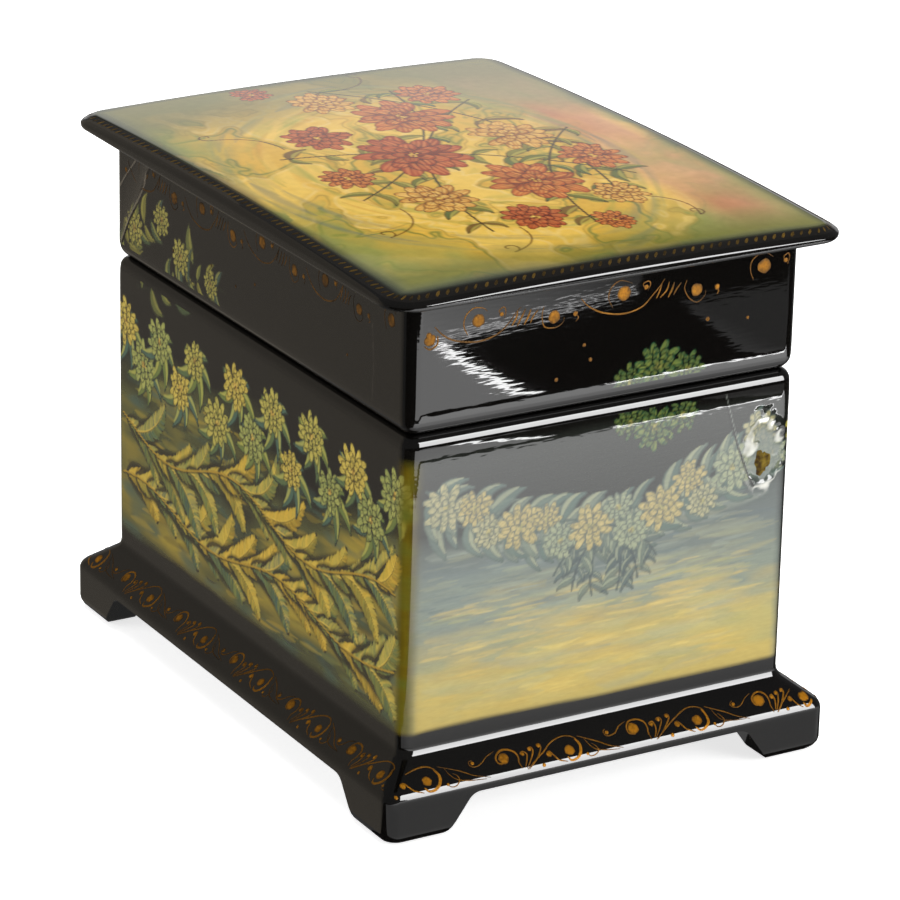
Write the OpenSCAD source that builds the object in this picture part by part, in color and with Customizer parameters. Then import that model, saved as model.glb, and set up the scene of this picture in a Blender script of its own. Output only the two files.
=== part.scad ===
// Footed lacquer box with a hinged, overhanging lid.
// Front faces -Y, the hinges are at the back (+Y), +Z is up and the feet stand on z = 0.

/* [Body] */
// Width of the body walls across the front, mm
body_w = 129.6; // [100:0.1:180]
// Depth of the body walls from front to back, mm
body_d = 91.6; // [76:0.1:130]
// Height of the body's rim above the table, where the lid rests, mm
rim_z = 84.3; // [60:0.1:120]
// Thickness of the wound body wall, mm
wall = 4; // [3.8:0.1:5]
// Radius of the upright corners seen from above, mm
corner_r = 3; // [3:0.1:6]
// Rounding of the body's outer rim, mm
rim_r = 2.9; // [2:0.1:3]
// Rounding of the upright corners inside the walls, mm
inside_r = 1; // [0.5:0.1:2]
// Thickness of the bottom panel, mm
bottom_t = 3; // [2:0.1:5]

/* [Plinth and feet] */
// How far the plinth stands out from the body walls, mm
plinth_out = 7; // [5:0.5:8.5]
// Height of the plinth's upper edge above the table, mm
plinth_top = 18.2; // [16:0.1:26]
// Width of the small ledge at the plinth's upper edge, mm
plinth_ledge = 0.4; // [0.2:0.1:1]
// Radius of the plinth's rounded shoulder, mm
shoulder_r = 2; // [1:0.1:2.5]
// Height of the upright face between the feet, mm
apron_h = 0.8; // [0.4:0.1:2]
// Height of the feet, mm
foot_h = 8.7; // [6:0.1:12]
// Length of a foot along each side at the table, mm
foot_base = 13.7; // [11:0.1:16]
// Length of a foot along each side at its top, mm
foot_top = 20; // [17:0.1:26]
// Thickness of a foot's two arms, mm
foot_t = 8; // [6:0.5:10]
// Rounding at the inner end of a foot's base, mm
foot_r = 3; // [1:0.1:4]

/* [Lid] */
// Height of the lid walls, mm
lid_h = 28.7; // [20:0.1:50]
// Thickness of the wound lid wall, mm
lid_wall = 3.4; // [3.3:0.1:3.6]
// Rounding of the lid's outer rim, mm
lid_rim_r = 2.8; // [2:0.1:3]
// How far the lid panel overhangs the walls, mm
panel_out = 7.2; // [5:0.1:14]
// Thickness of the lid panel at its edge, mm
panel_t = 2.8; // [2.6:0.1:5]
// Radius of the lid panel's corners seen from above, mm
panel_r = 4.5; // [4:0.1:8]
// Rise of the lid panel's crown above its edge, mm
crown = 2.4; // [0.5:0.1:5]

/* [Inner lip] */
// Thickness of the lip inside the body walls, mm
lip_t = 2; // [1.2:0.1:3]
// Height of the lip above the rim, inside the lid, mm
lip_up = 3.6; // [2:0.1:6]
// Depth of the lip below the rim, mm
lip_down = 14; // [12:0.5:24]

/* [Hinges] */
// Distance of each hinge's middle in from the end of the body, mm
hinge_in = 26; // [16:1:32]
// Length of a hinge along the back, mm
hinge_len = 16; // [12:0.5:20]
// Outer radius of a hinge knuckle, mm
barrel_r = 1.6; // [1.4:0.05:1.7]
// Radius of a hinge pin, mm
pin_r = 0.6; // [0.5:0.05:0.8]
// Distance of the pin's axis in from the back face, mm
axis_in = 1; // [0.8:0.05:1.1]
// Thickness of a hinge leaf, mm
leaf_t = 0.8; // [0.5:0.05:0.9]
// Height of a hinge leaf from the pin's axis, mm
leaf_h = 10; // [8:0.5:11]
// Gap between neighbouring knuckles, mm
knuckle_gap = 0.2; // [0.15:0.05:0.4]
// Gap between a knuckle and the walls around it, mm
barrel_gap = 0.3; // [0.25:0.05:0.35]
// Radial clearance of the pin in the lid's knuckle, mm
pin_gap = 0.05; // [0.03:0.01:0.08]
// Radius of a hinge nail, mm
nail_r = 0.5; // [0.3:0.05:0.6]
// Radius of a hinge nail's head, mm
nail_head_r = 1; // [0.8:0.05:1.2]
// Height of a hinge nail's head, mm
nail_head_h = 0.5; // [0.3:0.05:0.6]

/* [Hidden] */
$fn = 96;
black_lacquer = [0.05, 0.05, 0.06];
red_lacquer = [0.5, 0.07, 0.05];
brass = [0.78, 0.6, 0.3];
inner_w = body_w - 2 * wall;
inner_d = body_d - 2 * wall;
plinth_w = body_w + 2 * plinth_out;
plinth_d = body_d + 2 * plinth_out;
panel_w = body_w + 2 * panel_out;
panel_d = body_d + 2 * panel_out;
panel_z = rim_z + lid_h;
panel_edge_r = panel_t / 2 - 0.1;
crown_in = 3;
axis_y = body_d / 2 - axis_in;
hinge_x = body_w / 2 - hinge_in;
knuckle_len = (hinge_len - 2 * knuckle_gap) / 3;
leaf_y = -barrel_r + 0.1;
recess_r = barrel_r + barrel_gap;
nail_x = hinge_len * 0.31;
nail_z = leaf_h * 0.65;
nail_tip = leaf_y + leaf_t + 0.5;

// Outline of a rounded rectangle centred on the origin
module plan(w, d, r) {
  square([w - 2 * r, d], center = true);
  square([w, d - 2 * r], center = true);
  for (sx = [-1, 1]) {
    for (sy = [-1, 1]) {
      translate([sx * (w / 2 - r), sy * (d / 2 - r)]) circle(r);
    }
  }
}

// Carries a section, r deep and h high, around a rounded rectangle, with its outer edge on the outline
module ring(w, d, r, h) {
  for (i = [0:3]) {
    rotate(90 * i)
      translate([(i % 2 == 0 ? w : d) / 2, 0, 0])
        rotate([90, 0, 0])
          linear_extrude(height = (i % 2 == 0 ? d : w) - 2 * r, center = true)
            children();
  }
  for (i = [0:3]) {
    sx = (i == 0 || i == 3) ? 1 : -1;
    sy = i < 2 ? 1 : -1;
    translate([sx * (w / 2 - r), sy * (d / 2 - r), 0])
      rotate(90 * i)
        rotate_extrude(angle = 90)
          intersection() {
            translate([r, 0]) children();
            square([r, h]);
          }
  }
}

// Section of a block's outer band: b deep, h high, rounded by rt at the top and rb at the bottom
module band(b, h, rt, rb) {
  translate([-b, rb]) square([b, h - rt - rb]);
  if (rt > 0) {
    translate([-b, h - rt]) square([b - rt, rt]);
    intersection() {
      translate([-rt, h - rt]) circle(rt);
      translate([-rt, h - rt]) square([rt, rt]);
    }
  }
  if (rb > 0) {
    translate([-b, 0]) square([b - rb, rb]);
    intersection() {
      translate([-rb, rb]) circle(rb);
      translate([-rb, 0]) square([rb, rb]);
    }
  }
}

// Block with rounded upright corners and rounded outer edges, standing on z = 0
module block(w, d, r, h, rt, rb) {
  ring(w, d, r, h) band(r, h, rt, rb);
  translate([r - w / 2, r - d / 2, 0]) cube([w - 2 * r, d - 2 * r, h]);
}

// Places a hinge part on the pin's axis: side -1 is the left hinge, 1 the right one
module at_hinge(side) {
  translate([side * hinge_x, axis_y, rim_z]) children();
}

// Cylinder along X from x0, for knuckles, pins and bores
module rod_x(x0, len, r) {
  translate([x0, 0, 0]) rotate([0, 90, 0]) cylinder(h = len, r = r);
}

// Cylinder along Y from y0, for the nails and their holes
module rod_y(y0, len, r) {
  translate([0, y0, 0]) rotate([-90, 0, 0]) cylinder(h = len, r = r);
}

// Flat plate of a leaf, below the axis for up = -1 and above it for up = 1
module leaf_plate(up) {
  translate([-hinge_len / 2, leaf_y, up < 0 ? -leaf_h : 0]) cube([hinge_len, leaf_t, leaf_h]);
}

// Positions of the two nails in one leaf
module at_nails(up) {
  for (s = [-1, 1]) {
    translate([s * nail_x, 0, up * nail_z]) children();
  }
}

// Room in the walls for a hinge: the knuckles, a leaf's slot and its nails
module hinge_room(up, wall_t) {
  rod_x(-hinge_len / 2 - barrel_gap, hinge_len + 2 * barrel_gap, recess_r);
  leaf_plate(up);
  at_nails(up) rod_y(axis_in - wall_t - 1, wall_t + 1 + nail_tip - axis_in, nail_r);
}

// Body leaf of a hinge with its two outer knuckles
module body_leaf() {
  color(brass)
    difference() {
      union() {
        difference() {
          leaf_plate(-1);
          translate([-knuckle_len / 2 - knuckle_gap, leaf_y - 1, -recess_r])
            cube([knuckle_len + 2 * knuckle_gap, leaf_t + 2, recess_r + 1]);
        }
        rod_x(-hinge_len / 2, knuckle_len, barrel_r);
        rod_x(hinge_len / 2 - knuckle_len, knuckle_len, barrel_r);
      }
      rod_x(-hinge_len / 2 - 1, hinge_len + 2, pin_r);
      at_nails(-1) rod_y(leaf_y - 1, leaf_t + 2, nail_r);
    }
}

// Lid leaf of a hinge with its middle knuckle
module lid_leaf() {
  color(brass)
    difference() {
      union() {
        difference() {
          leaf_plate(1);
          for (x0 = [-hinge_len / 2 - 1, knuckle_len / 2]) {
            translate([x0, leaf_y - 1, -1])
              cube([knuckle_len + knuckle_gap + 1, leaf_t + 2, recess_r + 1]);
          }
        }
        rod_x(-knuckle_len / 2, knuckle_len, barrel_r);
      }
      rod_x(-hinge_len / 2 - 1, hinge_len + 2, pin_r + pin_gap);
      at_nails(1) rod_y(leaf_y - 1, leaf_t + 2, nail_r);
    }
}

// Pin of a hinge
module pin() {
  color(brass) rod_x(-hinge_len / 2, hinge_len, pin_r);
}

// Section across the plinth for a body half as wide as half
module plinth_section(half) {
  px = plinth_ledge;
  cx = plinth_out - shoulder_r;
  cz = foot_h + apron_h;
  slope = atan2(cz - plinth_top, cx - px) + asin(shoulder_r / norm([cx - px, cz - plinth_top]));
  tx = cx - shoulder_r * sin(slope);
  tz = cz + shoulder_r * cos(slope);
  for (s = [-1, 1]) {
    scale([s, 1]) {
      polygon([
        [0, foot_h],
        [half + plinth_out, foot_h],
        [half + plinth_out, cz],
        [half + tx, tz],
        [half + px, plinth_top],
        [0, plinth_top]
      ]);
      translate([half + cx, cz]) circle(shoulder_r);
    }
  }
}

// Side view of a foot from its outer face (x = 0) inwards along -x
module foot_section() {
  lean = atan2(foot_h, foot_top - foot_base);
  cut = foot_r * tan(lean / 2);
  polygon([
    [0, 0],
    [cut - foot_base, 0],
    [-foot_base - cut * cos(lean), cut * sin(lean)],
    [-foot_top, foot_h],
    [0, foot_h]
  ]);
  translate([cut - foot_base, foot_r]) circle(foot_r);
}

// Bracket foot at the corner on side sx (right = 1) and sy (rear = 1)
module foot(sx, sy) {
  color(black_lacquer)
    scale([sx, sy, 1])
      intersection() {
        union() {
          translate([plinth_w / 2, plinth_d / 2, 0])
            rotate([90, 0, 0])
              linear_extrude(height = foot_t)
                foot_section();
          translate([plinth_w / 2 - foot_t, plinth_d / 2, 0])
            rotate([90, 0, 90])
              linear_extrude(height = foot_t)
                foot_section();
        }
        linear_extrude(height = foot_h) plan(plinth_w, plinth_d, corner_r);
      }
}

// Wound walls of the body, open at the top and bottom
module body_walls() {
  color(black_lacquer)
    difference() {
      translate([0, 0, foot_h]) block(body_w, body_d, corner_r, rim_z - foot_h, rim_r, 0);
      translate([0, 0, foot_h - 1])
        linear_extrude(height = rim_z - foot_h + 2) plan(inner_w, inner_d, inside_r);
      for (side = [-1, 1]) {
        at_hinge(side) hinge_room(-1, wall);
      }
    }
}

// Flat bottom of the box, glued inside the walls
module bottom_panel() {
  color(red_lacquer)
    translate([0, 0, foot_h])
      linear_extrude(height = bottom_t) plan(inner_w, inner_d, inside_r);
}

// Lip inside the walls that the lid fits over
module inner_lip() {
  color(red_lacquer)
    translate([0, 0, rim_z - lip_down])
      linear_extrude(height = lip_down + lip_up)
        difference() {
          plan(inner_w, inner_d, inside_r);
          plan(inner_w - 2 * lip_t, inner_d - 2 * lip_t, inside_r);
        }
}

// Sloping plinth around the foot of the walls
module plinth_moulding() {
  color(black_lacquer)
    difference() {
      intersection() {
        rotate([90, 0, 0])
          linear_extrude(height = plinth_d + 2, center = true)
            plinth_section(body_w / 2);
        rotate([90, 0, 90])
          linear_extrude(height = plinth_w + 2, center = true)
            plinth_section(body_d / 2);
        translate([0, 0, foot_h])
          linear_extrude(height = plinth_top - foot_h) plan(plinth_w, plinth_d, corner_r);
      }
      translate([0, 0, foot_h - 1])
        linear_extrude(height = plinth_top - foot_h + 2) plan(body_w, body_d, corner_r);
    }
}

// Wound walls of the lid
module lid_walls() {
  color(black_lacquer)
    difference() {
      translate([0, 0, rim_z]) block(body_w, body_d, corner_r, lid_h, 0, lid_rim_r);
      translate([0, 0, rim_z - 1])
        linear_extrude(height = lid_h + 2)
          plan(body_w - 2 * lid_wall, body_d - 2 * lid_wall, inside_r);
      for (side = [-1, 1]) {
        at_hinge(side) hinge_room(1, lid_wall);
      }
    }
}

// Points of the crown over the lid panel, row by row
function crown_point(i, j, nx, ny) =
  let (u = 2 * i / nx - 1, v = 2 * j / ny - 1)
  [
    u * (panel_w / 2 - crown_in),
    v * (panel_d / 2 - crown_in),
    panel_t + crown * (1 - u * u) * (1 - v * v)
  ];

// Gentle pillow on top of the lid panel
module crown_pillow(nx, ny) {
  top = [for (j = [0:ny]) for (i = [0:nx]) crown_point(i, j, nx, ny)];
  n = len(top);
  foot = [for (p = top) [p[0], p[1], panel_t / 2]];
  row = nx + 1;
  faces = [
    for (j = [0:ny - 1]) for (i = [0:nx - 1]) each [
      [j * row + i, (j + 1) * row + i, (j + 1) * row + i + 1],
      [j * row + i, (j + 1) * row + i + 1, j * row + i + 1],
      [n + j * row + i, n + (j + 1) * row + i + 1, n + (j + 1) * row + i],
      [n + j * row + i, n + j * row + i + 1, n + (j + 1) * row + i + 1]
    ],
    for (i = [0:nx - 1]) each [
      [i, i + 1, n + i + 1, n + i],
      [ny * row + i + 1, ny * row + i, n + ny * row + i, n + ny * row + i + 1]
    ],
    for (j = [0:ny - 1]) each [
      [(j + 1) * row, j * row, n + j * row, n + (j + 1) * row],
      [j * row + nx, (j + 1) * row + nx, n + (j + 1) * row + nx, n + j * row + nx]
    ]
  ];
  polyhedron(points = concat(top, foot), faces = faces);
}

// Overhanging top of the lid
module lid_panel() {
  color(black_lacquer)
    translate([0, 0, panel_z])
      union() {
        block(panel_w, panel_d, panel_r, panel_t, panel_edge_r, panel_edge_r);
        crown_pillow(16, 12);
      }
}

// Four nails that hold the body leaves, cut flush with the wall under the lip
module hinge_nails_body() {
  color(brass)
    for (side = [-1, 1]) {
      at_hinge(side)
        at_nails(-1)
          rod_y(axis_in - wall, wall + nail_tip - axis_in, nail_r);
    }
}

// Four nails that hold the lid leaves, with their heads inside the lid
module hinge_nails_lid() {
  color(brass)
    for (side = [-1, 1]) {
      at_hinge(side)
        at_nails(1) {
          rod_y(axis_in - lid_wall, lid_wall + nail_tip - axis_in, nail_r);
          rod_y(axis_in - lid_wall - nail_head_h, nail_head_h, nail_head_r);
        }
    }
}

body_walls();
bottom_panel();
inner_lip();
plinth_moulding();
foot(-1, -1);  // foot_front_left
foot(1, -1);  // foot_front_right
foot(-1, 1);  // foot_rear_left
foot(1, 1);  // foot_rear_right
lid_walls();
lid_panel();
at_hinge(-1) body_leaf();  // hinge_left_body_leaf
at_hinge(-1) lid_leaf();  // hinge_left_lid_leaf
at_hinge(-1) pin();  // hinge_left_pin
at_hinge(1) body_leaf();  // hinge_right_body_leaf
at_hinge(1) lid_leaf();  // hinge_right_lid_leaf
at_hinge(1) pin();  // hinge_right_pin
hinge_nails_body();
hinge_nails_lid();
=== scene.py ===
# %% [markdown]
# # A footed lacquer box with a hinged lid
# The real box is pressed paper, wound on a form, glued, oiled and baked. It is primed, painted,
# and covered with many coats of polished lacquer, so every surface is smooth and mirror-like.
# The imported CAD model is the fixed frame: pieces are made in its place, in metres.

# %% Load the frame
import math

import bmesh
import bpy
import numpy as np
from mathutils import Matrix, Vector


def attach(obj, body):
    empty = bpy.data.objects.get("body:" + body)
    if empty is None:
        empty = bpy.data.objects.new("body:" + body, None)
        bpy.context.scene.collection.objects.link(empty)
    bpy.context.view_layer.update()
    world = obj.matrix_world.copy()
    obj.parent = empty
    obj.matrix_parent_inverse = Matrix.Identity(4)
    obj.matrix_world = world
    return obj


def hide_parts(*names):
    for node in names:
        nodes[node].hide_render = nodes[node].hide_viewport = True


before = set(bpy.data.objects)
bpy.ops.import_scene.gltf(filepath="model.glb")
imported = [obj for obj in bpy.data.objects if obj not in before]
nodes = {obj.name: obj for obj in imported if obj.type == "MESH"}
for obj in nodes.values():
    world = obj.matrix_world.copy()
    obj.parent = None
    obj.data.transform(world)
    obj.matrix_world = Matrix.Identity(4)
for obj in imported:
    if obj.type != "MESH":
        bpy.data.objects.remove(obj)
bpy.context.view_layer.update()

# %% [markdown]
# ## Sizes
# The sizes are those of the CAD model, in millimetres, because a maker thinks in them.
# Everything that goes to Blender is multiplied by MM.

# %% Sizes in millimetres
MM = 0.001
BODY_W, BODY_D, RIM_Z = 129.6, 91.6, 84.3
WALL, LID_WALL = 4.0, 3.4
CORNER_R, INSIDE_R = 3.0, 1.0
FOOT_H, PLINTH_OUT = 8.7, 7.0
PANEL_W, PANEL_D, PANEL_Z, PANEL_T = 144.0, 106.0, 113.0, 2.8
print("body", BODY_W, "x", BODY_D, "rim at", RIM_Z, "panel under side at", PANEL_Z)

# %% [markdown]
# ## Colours and nodes
# Colours are written as sRGB hex values, as a paint chart gives them, and one function turns
# them to the linear values that shaders use. One small function adds a node, sets it and links it.

# %% Helpers for materials
def linear(code):
    parts = [int(code[i:i + 2], 16) / 255 for i in (1, 3, 5)]
    return [p / 12.92 if p <= 0.04045 else ((p + 0.055) / 1.055) ** 2.4 for p in parts] + [1.0]


def add(tree, kind, links=None, stops=(), **settings):
    """A link starts at a socket, or at a node's first output. stops are places and colours on a ramp."""
    item = tree.nodes.new(kind)
    for k, (place, code) in enumerate(stops):
        item.color_ramp.elements[k].position = place
        item.color_ramp.elements[k].color = linear(code)
    for name, value in settings.items():
        if hasattr(item, name):
            setattr(item, name, value)
        else:
            item.inputs[name.replace("_", " ")].default_value = value
    for socket, source in (links or {}).items():
        tree.links.new(getattr(source, "outputs", [source])[0], item.inputs[socket])
    return item


def new_material(name):
    material = bpy.data.materials.new(name)
    material.use_nodes = True
    material.node_tree.nodes.clear()
    return material, material.node_tree


print("middle grey is", round(linear("#808080")[0], 3), "in linear light")

# %% [markdown]
# ## Lacquer
# Oil lacquer is a clear dielectric, IOR about 1.5, polished almost to a mirror. It is brushed on
# and rubbed down by hand, so it keeps faint level brush marks under 1 mm apart and a soft
# waviness of 15 to 20 mm. Both bend reflections, and give them the ragged edges of the real box.

# %% The lacquer's surface
# Heights are in thousandths of a millimetre, scales in patches to the metre.
MARK_UM, MARKS = 5.0, (230, 230, 1300)
WAVE_UM, WAVES = 16.0, 58.0


def lacquer_surface(tree):
    """The bent normal, and the place on the piece that the other nodes read."""
    place = add(tree, "ShaderNodeTexCoord").outputs["Object"]
    stretch = add(tree, "ShaderNodeMapping", {"Vector": place}, Scale=MARKS)
    marks = add(tree, "ShaderNodeTexNoise", {"Vector": stretch}, Scale=1.0, Detail=1.0)
    wave = add(tree, "ShaderNodeTexNoise", {"Vector": place}, Scale=WAVES, Detail=1.0)
    fine = add(tree, "ShaderNodeBump", {"Height": marks}, Strength=1.0, Distance=MARK_UM * 1e-6)
    bent = add(tree, "ShaderNodeBump", {"Height": wave, "Normal": fine}, Strength=1.0,
               Distance=WAVE_UM * 1e-6)
    return bent, place


def lacquer(name, dark, light, rough, patch_mm):
    material, tree = new_material(name)
    normal, place = lacquer_surface(tree)
    cloud = add(tree, "ShaderNodeTexNoise", {"Vector": place}, Scale=1000 / patch_mm, Detail=4.0)
    tone = add(tree, "ShaderNodeValToRGB", {"Fac": cloud}, ((0.35, dark), (0.68, light)))
    scuff = add(tree, "ShaderNodeMapRange", {"Value": cloud}, From_Min=0.3, From_Max=0.7,
                To_Min=rough * 0.7, To_Max=rough * 1.5)
    shine = add(tree, "ShaderNodeBsdfPrincipled",
                {"Base Color": tone, "Normal": normal, "Roughness": scuff}, IOR=1.5)
    add(tree, "ShaderNodeOutputMaterial", {"Surface": shine})
    return material


# Black oil lacquer: a deep warm black, all of whose brightness is reflection.
black_lacquer = lacquer("black_oil_lacquer", "#060505", "#0b0a08", 0.025, 22.0)
# Vermilion lacquer of the inside: an opaque warm red, a little less polished than the outside.
VERMILION = ("#8e1b10", "#a82616", 0.14, 14.0)
red_lacquer = lacquer("vermilion_lacquer", *VERMILION)
print("lacquers:", black_lacquer.name, red_lacquer.name)

# %% [markdown]
# ## Hinge brass
# The small hinges and nails are rolled yellow brass, dulled in use. A metal keeps the default IOR;
# its colour is its reflection. Darker, rougher patches a few millimetres wide are tarnish.

# %% Aged brass
brass, tree = new_material("aged_brass")
place = add(tree, "ShaderNodeTexCoord").outputs["Object"]
tarnish = add(tree, "ShaderNodeTexNoise", {"Vector": place}, Scale=1000 / 3.0, Detail=5.0)
grain = add(tree, "ShaderNodeTexNoise", {"Vector": place}, Scale=1000 / 0.25, Detail=2.0)
tone = add(tree, "ShaderNodeValToRGB", {"Fac": tarnish}, ((0.36, "#8a6a34"), (0.62, "#d2ae62")))
dull = add(tree, "ShaderNodeMapRange", {"Value": tarnish}, From_Min=0.36, From_Max=0.62,
           To_Min=0.42, To_Max=0.24)
scratch = add(tree, "ShaderNodeBump", {"Height": grain}, Strength=1.0, Distance=6e-6)
metal = add(tree, "ShaderNodeBsdfPrincipled",
            {"Base Color": tone, "Roughness": dull, "Normal": scratch}, Metallic=1.0)
add(tree, "ShaderNodeOutputMaterial", {"Surface": metal})
print("metal:", brass.name)

# %% [markdown]
# ## Ways of working
# Operators act on everything that is selected, so each step first deselects, and then selects
# edges or faces by where they are. A cube with rounded upright edges is the start of most pieces.

# %% Helpers for selecting
def clear():
    if bpy.context.object and bpy.context.object.mode != "OBJECT":
        bpy.ops.object.mode_set(mode="OBJECT")
    bpy.ops.object.select_all(action="DESELECT")


def only(piece):
    clear()
    piece.select_set(True)
    bpy.context.view_layer.objects.active = piece


def pick(piece, edges=None, faces=None):
    only(piece)
    bpy.ops.object.mode_set(mode="EDIT")
    bpy.context.tool_settings.mesh_select_mode = (False, edges is not None, faces is not None)
    bpy.ops.mesh.select_all(action="DESELECT")
    work = bmesh.from_edit_mesh(piece.data)
    chosen = [item for item in (work.edges if edges else work.faces) if (edges or faces)(item)]
    for item in chosen:
        item.select_set(True)
    bmesh.update_edit_mesh(piece.data)
    return len(chosen)


def every(item):
    return True


def done():
    bpy.ops.object.mode_set(mode="OBJECT")


def ends(edge):
    return [v.co / MM for v in edge.verts]


print("selected at the start:", len(bpy.context.selected_objects))


# %% Helpers for shaping
def named(name):
    piece = bpy.context.object
    piece.name = piece.data.name = name
    return piece


def set_size(piece, w, d, h):
    piece.scale = (w * MM, d * MM, h * MM)
    bpy.ops.object.transform_apply(location=True, rotation=True, scale=True)


def bevel(radius, segments):
    bpy.ops.mesh.bevel(offset=radius * MM, segments=segments, affect="EDGES", clamp_overlap=False)
    done()


def bisect_all(point, away):
    bpy.ops.mesh.select_all(action="SELECT")
    bpy.ops.mesh.bisect(plane_co=point, plane_no=away, threshold=1e-7)


def block(name, w, d, z0, z1):
    clear()
    bpy.ops.mesh.primitive_cube_add(size=1, location=(0, 0, (z0 + z1) / 2 * MM))
    piece = named(name)
    set_size(piece, w, d, z1 - z0)
    return piece


def rounded_block(name, w, d, z0, z1, r, steps=8):
    piece = block(name, w, d, z0, z1)
    pick(piece, edges=lambda e: abs(e.verts[0].co.z - e.verts[1].co.z) > 1e-4)
    bevel(r, steps)
    return piece


print("blocks ready")

# %% [markdown]
# Three helpers finish a piece. A cutter is subtracted and thrown away; the shading is smoothed
# over all edges flatter than 40 degrees; and the piece gets its finish and the body that it rides on.

# %% Helpers for finishing
SHARP = math.radians(40)


def cut(piece, cutter):
    only(piece)
    step = piece.modifiers.new("cut", "BOOLEAN")
    step.operation, step.object, step.solver = "DIFFERENCE", cutter, "EXACT"
    bpy.ops.object.modifier_apply(modifier="cut")
    bpy.data.objects.remove(cutter)


def smooth(piece):
    only(piece)
    bpy.ops.object.shade_smooth_by_angle(angle=SHARP)
    piece.modifiers.new("even", "WEIGHTED_NORMAL").keep_sharp = True
    bpy.ops.object.modifier_apply(modifier="even")


def dress(piece, body, slot, *materials):
    for material in materials:
        piece.data.materials.append(material)
    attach(piece, body)


# %% [markdown]
# ## Body walls and lid walls
# Each set of walls is one wound tube of paper. A rounded block gives the outside, a smaller one
# the inside; both lose their caps and are bridged at the rims. The outer rim is then bevelled
# nearly to a half round, which leaves the dark groove between lid and body.

# %% Tubes with rounded rims
BODY_RIM_R, LID_RIM_R, RIM_BAND = 2.2, 2.8, 1.2


def outside(p):
    """How far a place lies outside the walls; less than 0 inside them."""
    return max(abs(p.x) - BODY_W / 2, abs(p.y) - BODY_D / 2)


def outer_rim(e):
    return all(abs(p.z - RIM_Z) < 1e-3 and outside(p) > -RIM_BAND for p in ends(e))


def tube(name, z0, z1, wall, rim_r):
    piece = rounded_block(name, BODY_W, BODY_D, z0, z1, CORNER_R)
    inner = rounded_block("inner", BODY_W - 2 * wall, BODY_D - 2 * wall, z0, z1, INSIDE_R)
    for part in (piece, inner):
        pick(part, faces=lambda f: abs(f.normal.z) > 0.9)
        bpy.ops.mesh.delete(type="FACE")
    pick(inner, faces=every)
    bpy.ops.mesh.flip_normals()
    only(piece)
    inner.select_set(True)
    bpy.ops.object.join()
    for z in (z0, z1):
        pick(piece, edges=lambda e: all(abs(p.z - z) < 1e-3 for p in ends(e)))
        bpy.ops.mesh.bridge_edge_loops()
    pick(piece, faces=every)
    bpy.ops.mesh.normals_make_consistent(inside=False)
    count = pick(piece, edges=outer_rim)
    bevel(rim_r, 7)
    print(name, "rim edges", count, "faces", len(piece.data.polygons))
    return piece


body_walls = tube("body_walls_lacquered", FOOT_H, RIM_Z, WALL, BODY_RIM_R)
lid_walls = tube("lid_walls_lacquered", RIM_Z, PANEL_Z, LID_WALL, LID_RIM_R)

# %% [markdown]
# Lacquer is rubbed down harder near an edge, so the walls begin to roll over some 6 mm before
# their rims. The roll is only a fraction of a millimetre, but it turns the reflections: a dark
# line shows above the haze on the body, and a pale one along the foot of the lid.

# %% Roll of the walls
ROLL, ROLL_BEND, SKIN = 5.6, 0.009, 3.2


def roll(z):
    """How far the wall lies inwards at a height, in mm."""
    return ROLL_BEND * np.clip(ROLL - np.abs(np.asarray(z) - RIM_Z), 0, None) ** 2


def flat_part(x, half):
    """The nearest place on the flat part of a side."""
    return max(-1, min(1, x / (half - CORNER_R))) * (half - CORNER_R)


for walls in (body_walls, lid_walls):
    pick(walls, faces=every)
    for step in np.arange(0.5, ROLL + 0.4, 0.85):
        for z in (RIM_Z - step, RIM_Z + step):
            bisect_all((0, 0, z * MM), (0, 0, 1))
    done()
    for v in walls.data.vertices:
        x, y, z = v.co / MM
        out = Vector((x, y)) - Vector((flat_part(x, BODY_W / 2), flat_part(y, BODY_D / 2)))
        if outside(v.co / MM) > -SKIN and out.length > 0.01:
            shift = out.normalized() * float(roll(z)) * MM
            v.co.x -= shift.x
            v.co.y -= shift.y
    print(walls.name, "rolled, faces", len(walls.data.polygons))

# %% [markdown]
# The knuckles of the two hinges lie in round recesses, half in each rim at the back. A cylinder
# as long as the hinge, with a little air, is subtracted from both tubes. The inside faces get
# the red lacquer: they are the ones that look towards the middle of the box.

# %% Hinge recesses
HINGE_X, HINGE_Y, HINGE_LEN, RECESS_R, AIR = 38.8, 44.8, 16.0, 1.9, 0.6
for walls in (body_walls, lid_walls):
    for side in (-1, 1):
        clear()
        bpy.ops.mesh.primitive_cylinder_add(
            vertices=40, radius=RECESS_R * MM, depth=(HINGE_LEN + AIR) * MM,
            location=(side * HINGE_X * MM, HINGE_Y * MM, RIM_Z * MM), rotation=(0, math.pi / 2, 0))
        cut(walls, bpy.context.object)
    print(walls.name, "with recesses, faces", len(walls.data.polygons))

# %% Red inside
for walls, body, wall in ((body_walls, "box", WALL), (lid_walls, "lid", LID_WALL)):
    smooth(walls)
    dress(walls, body, "black_lacquer", black_lacquer, red_lacquer)
    red_faces = 0
    for face in walls.data.polygons:
        x, y, z = face.center / MM
        inward = face.normal.x * x < 0 and abs(x) > 50 or face.normal.y * y < 0 and abs(y) > 30
        inside = abs(x) < BODY_W / 2 - wall + 0.3 and abs(y) < BODY_D / 2 - wall + 0.3
        if inward and inside and abs(face.normal.z) < 0.5:
            face.material_index = 1
            red_faces += 1
    print(walls.name, "faces", len(walls.data.polygons), "red faces", red_faces)
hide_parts("body_walls")
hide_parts("lid_walls")

# %% [markdown]
# ## Lid panel
# The lid's top is one panel with a gentle pillow, rubbed down to a thin rounded rim. A rounded block
# gets its outline bevelled; bisect cuts lay a grid over it, closer near the rim, and the grid's points
# are then set to the height of the pillow, which falls away in the last millimetres before the rim.
# Two more cuts each way part the red of the under side from the black outside the lid walls.

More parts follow.
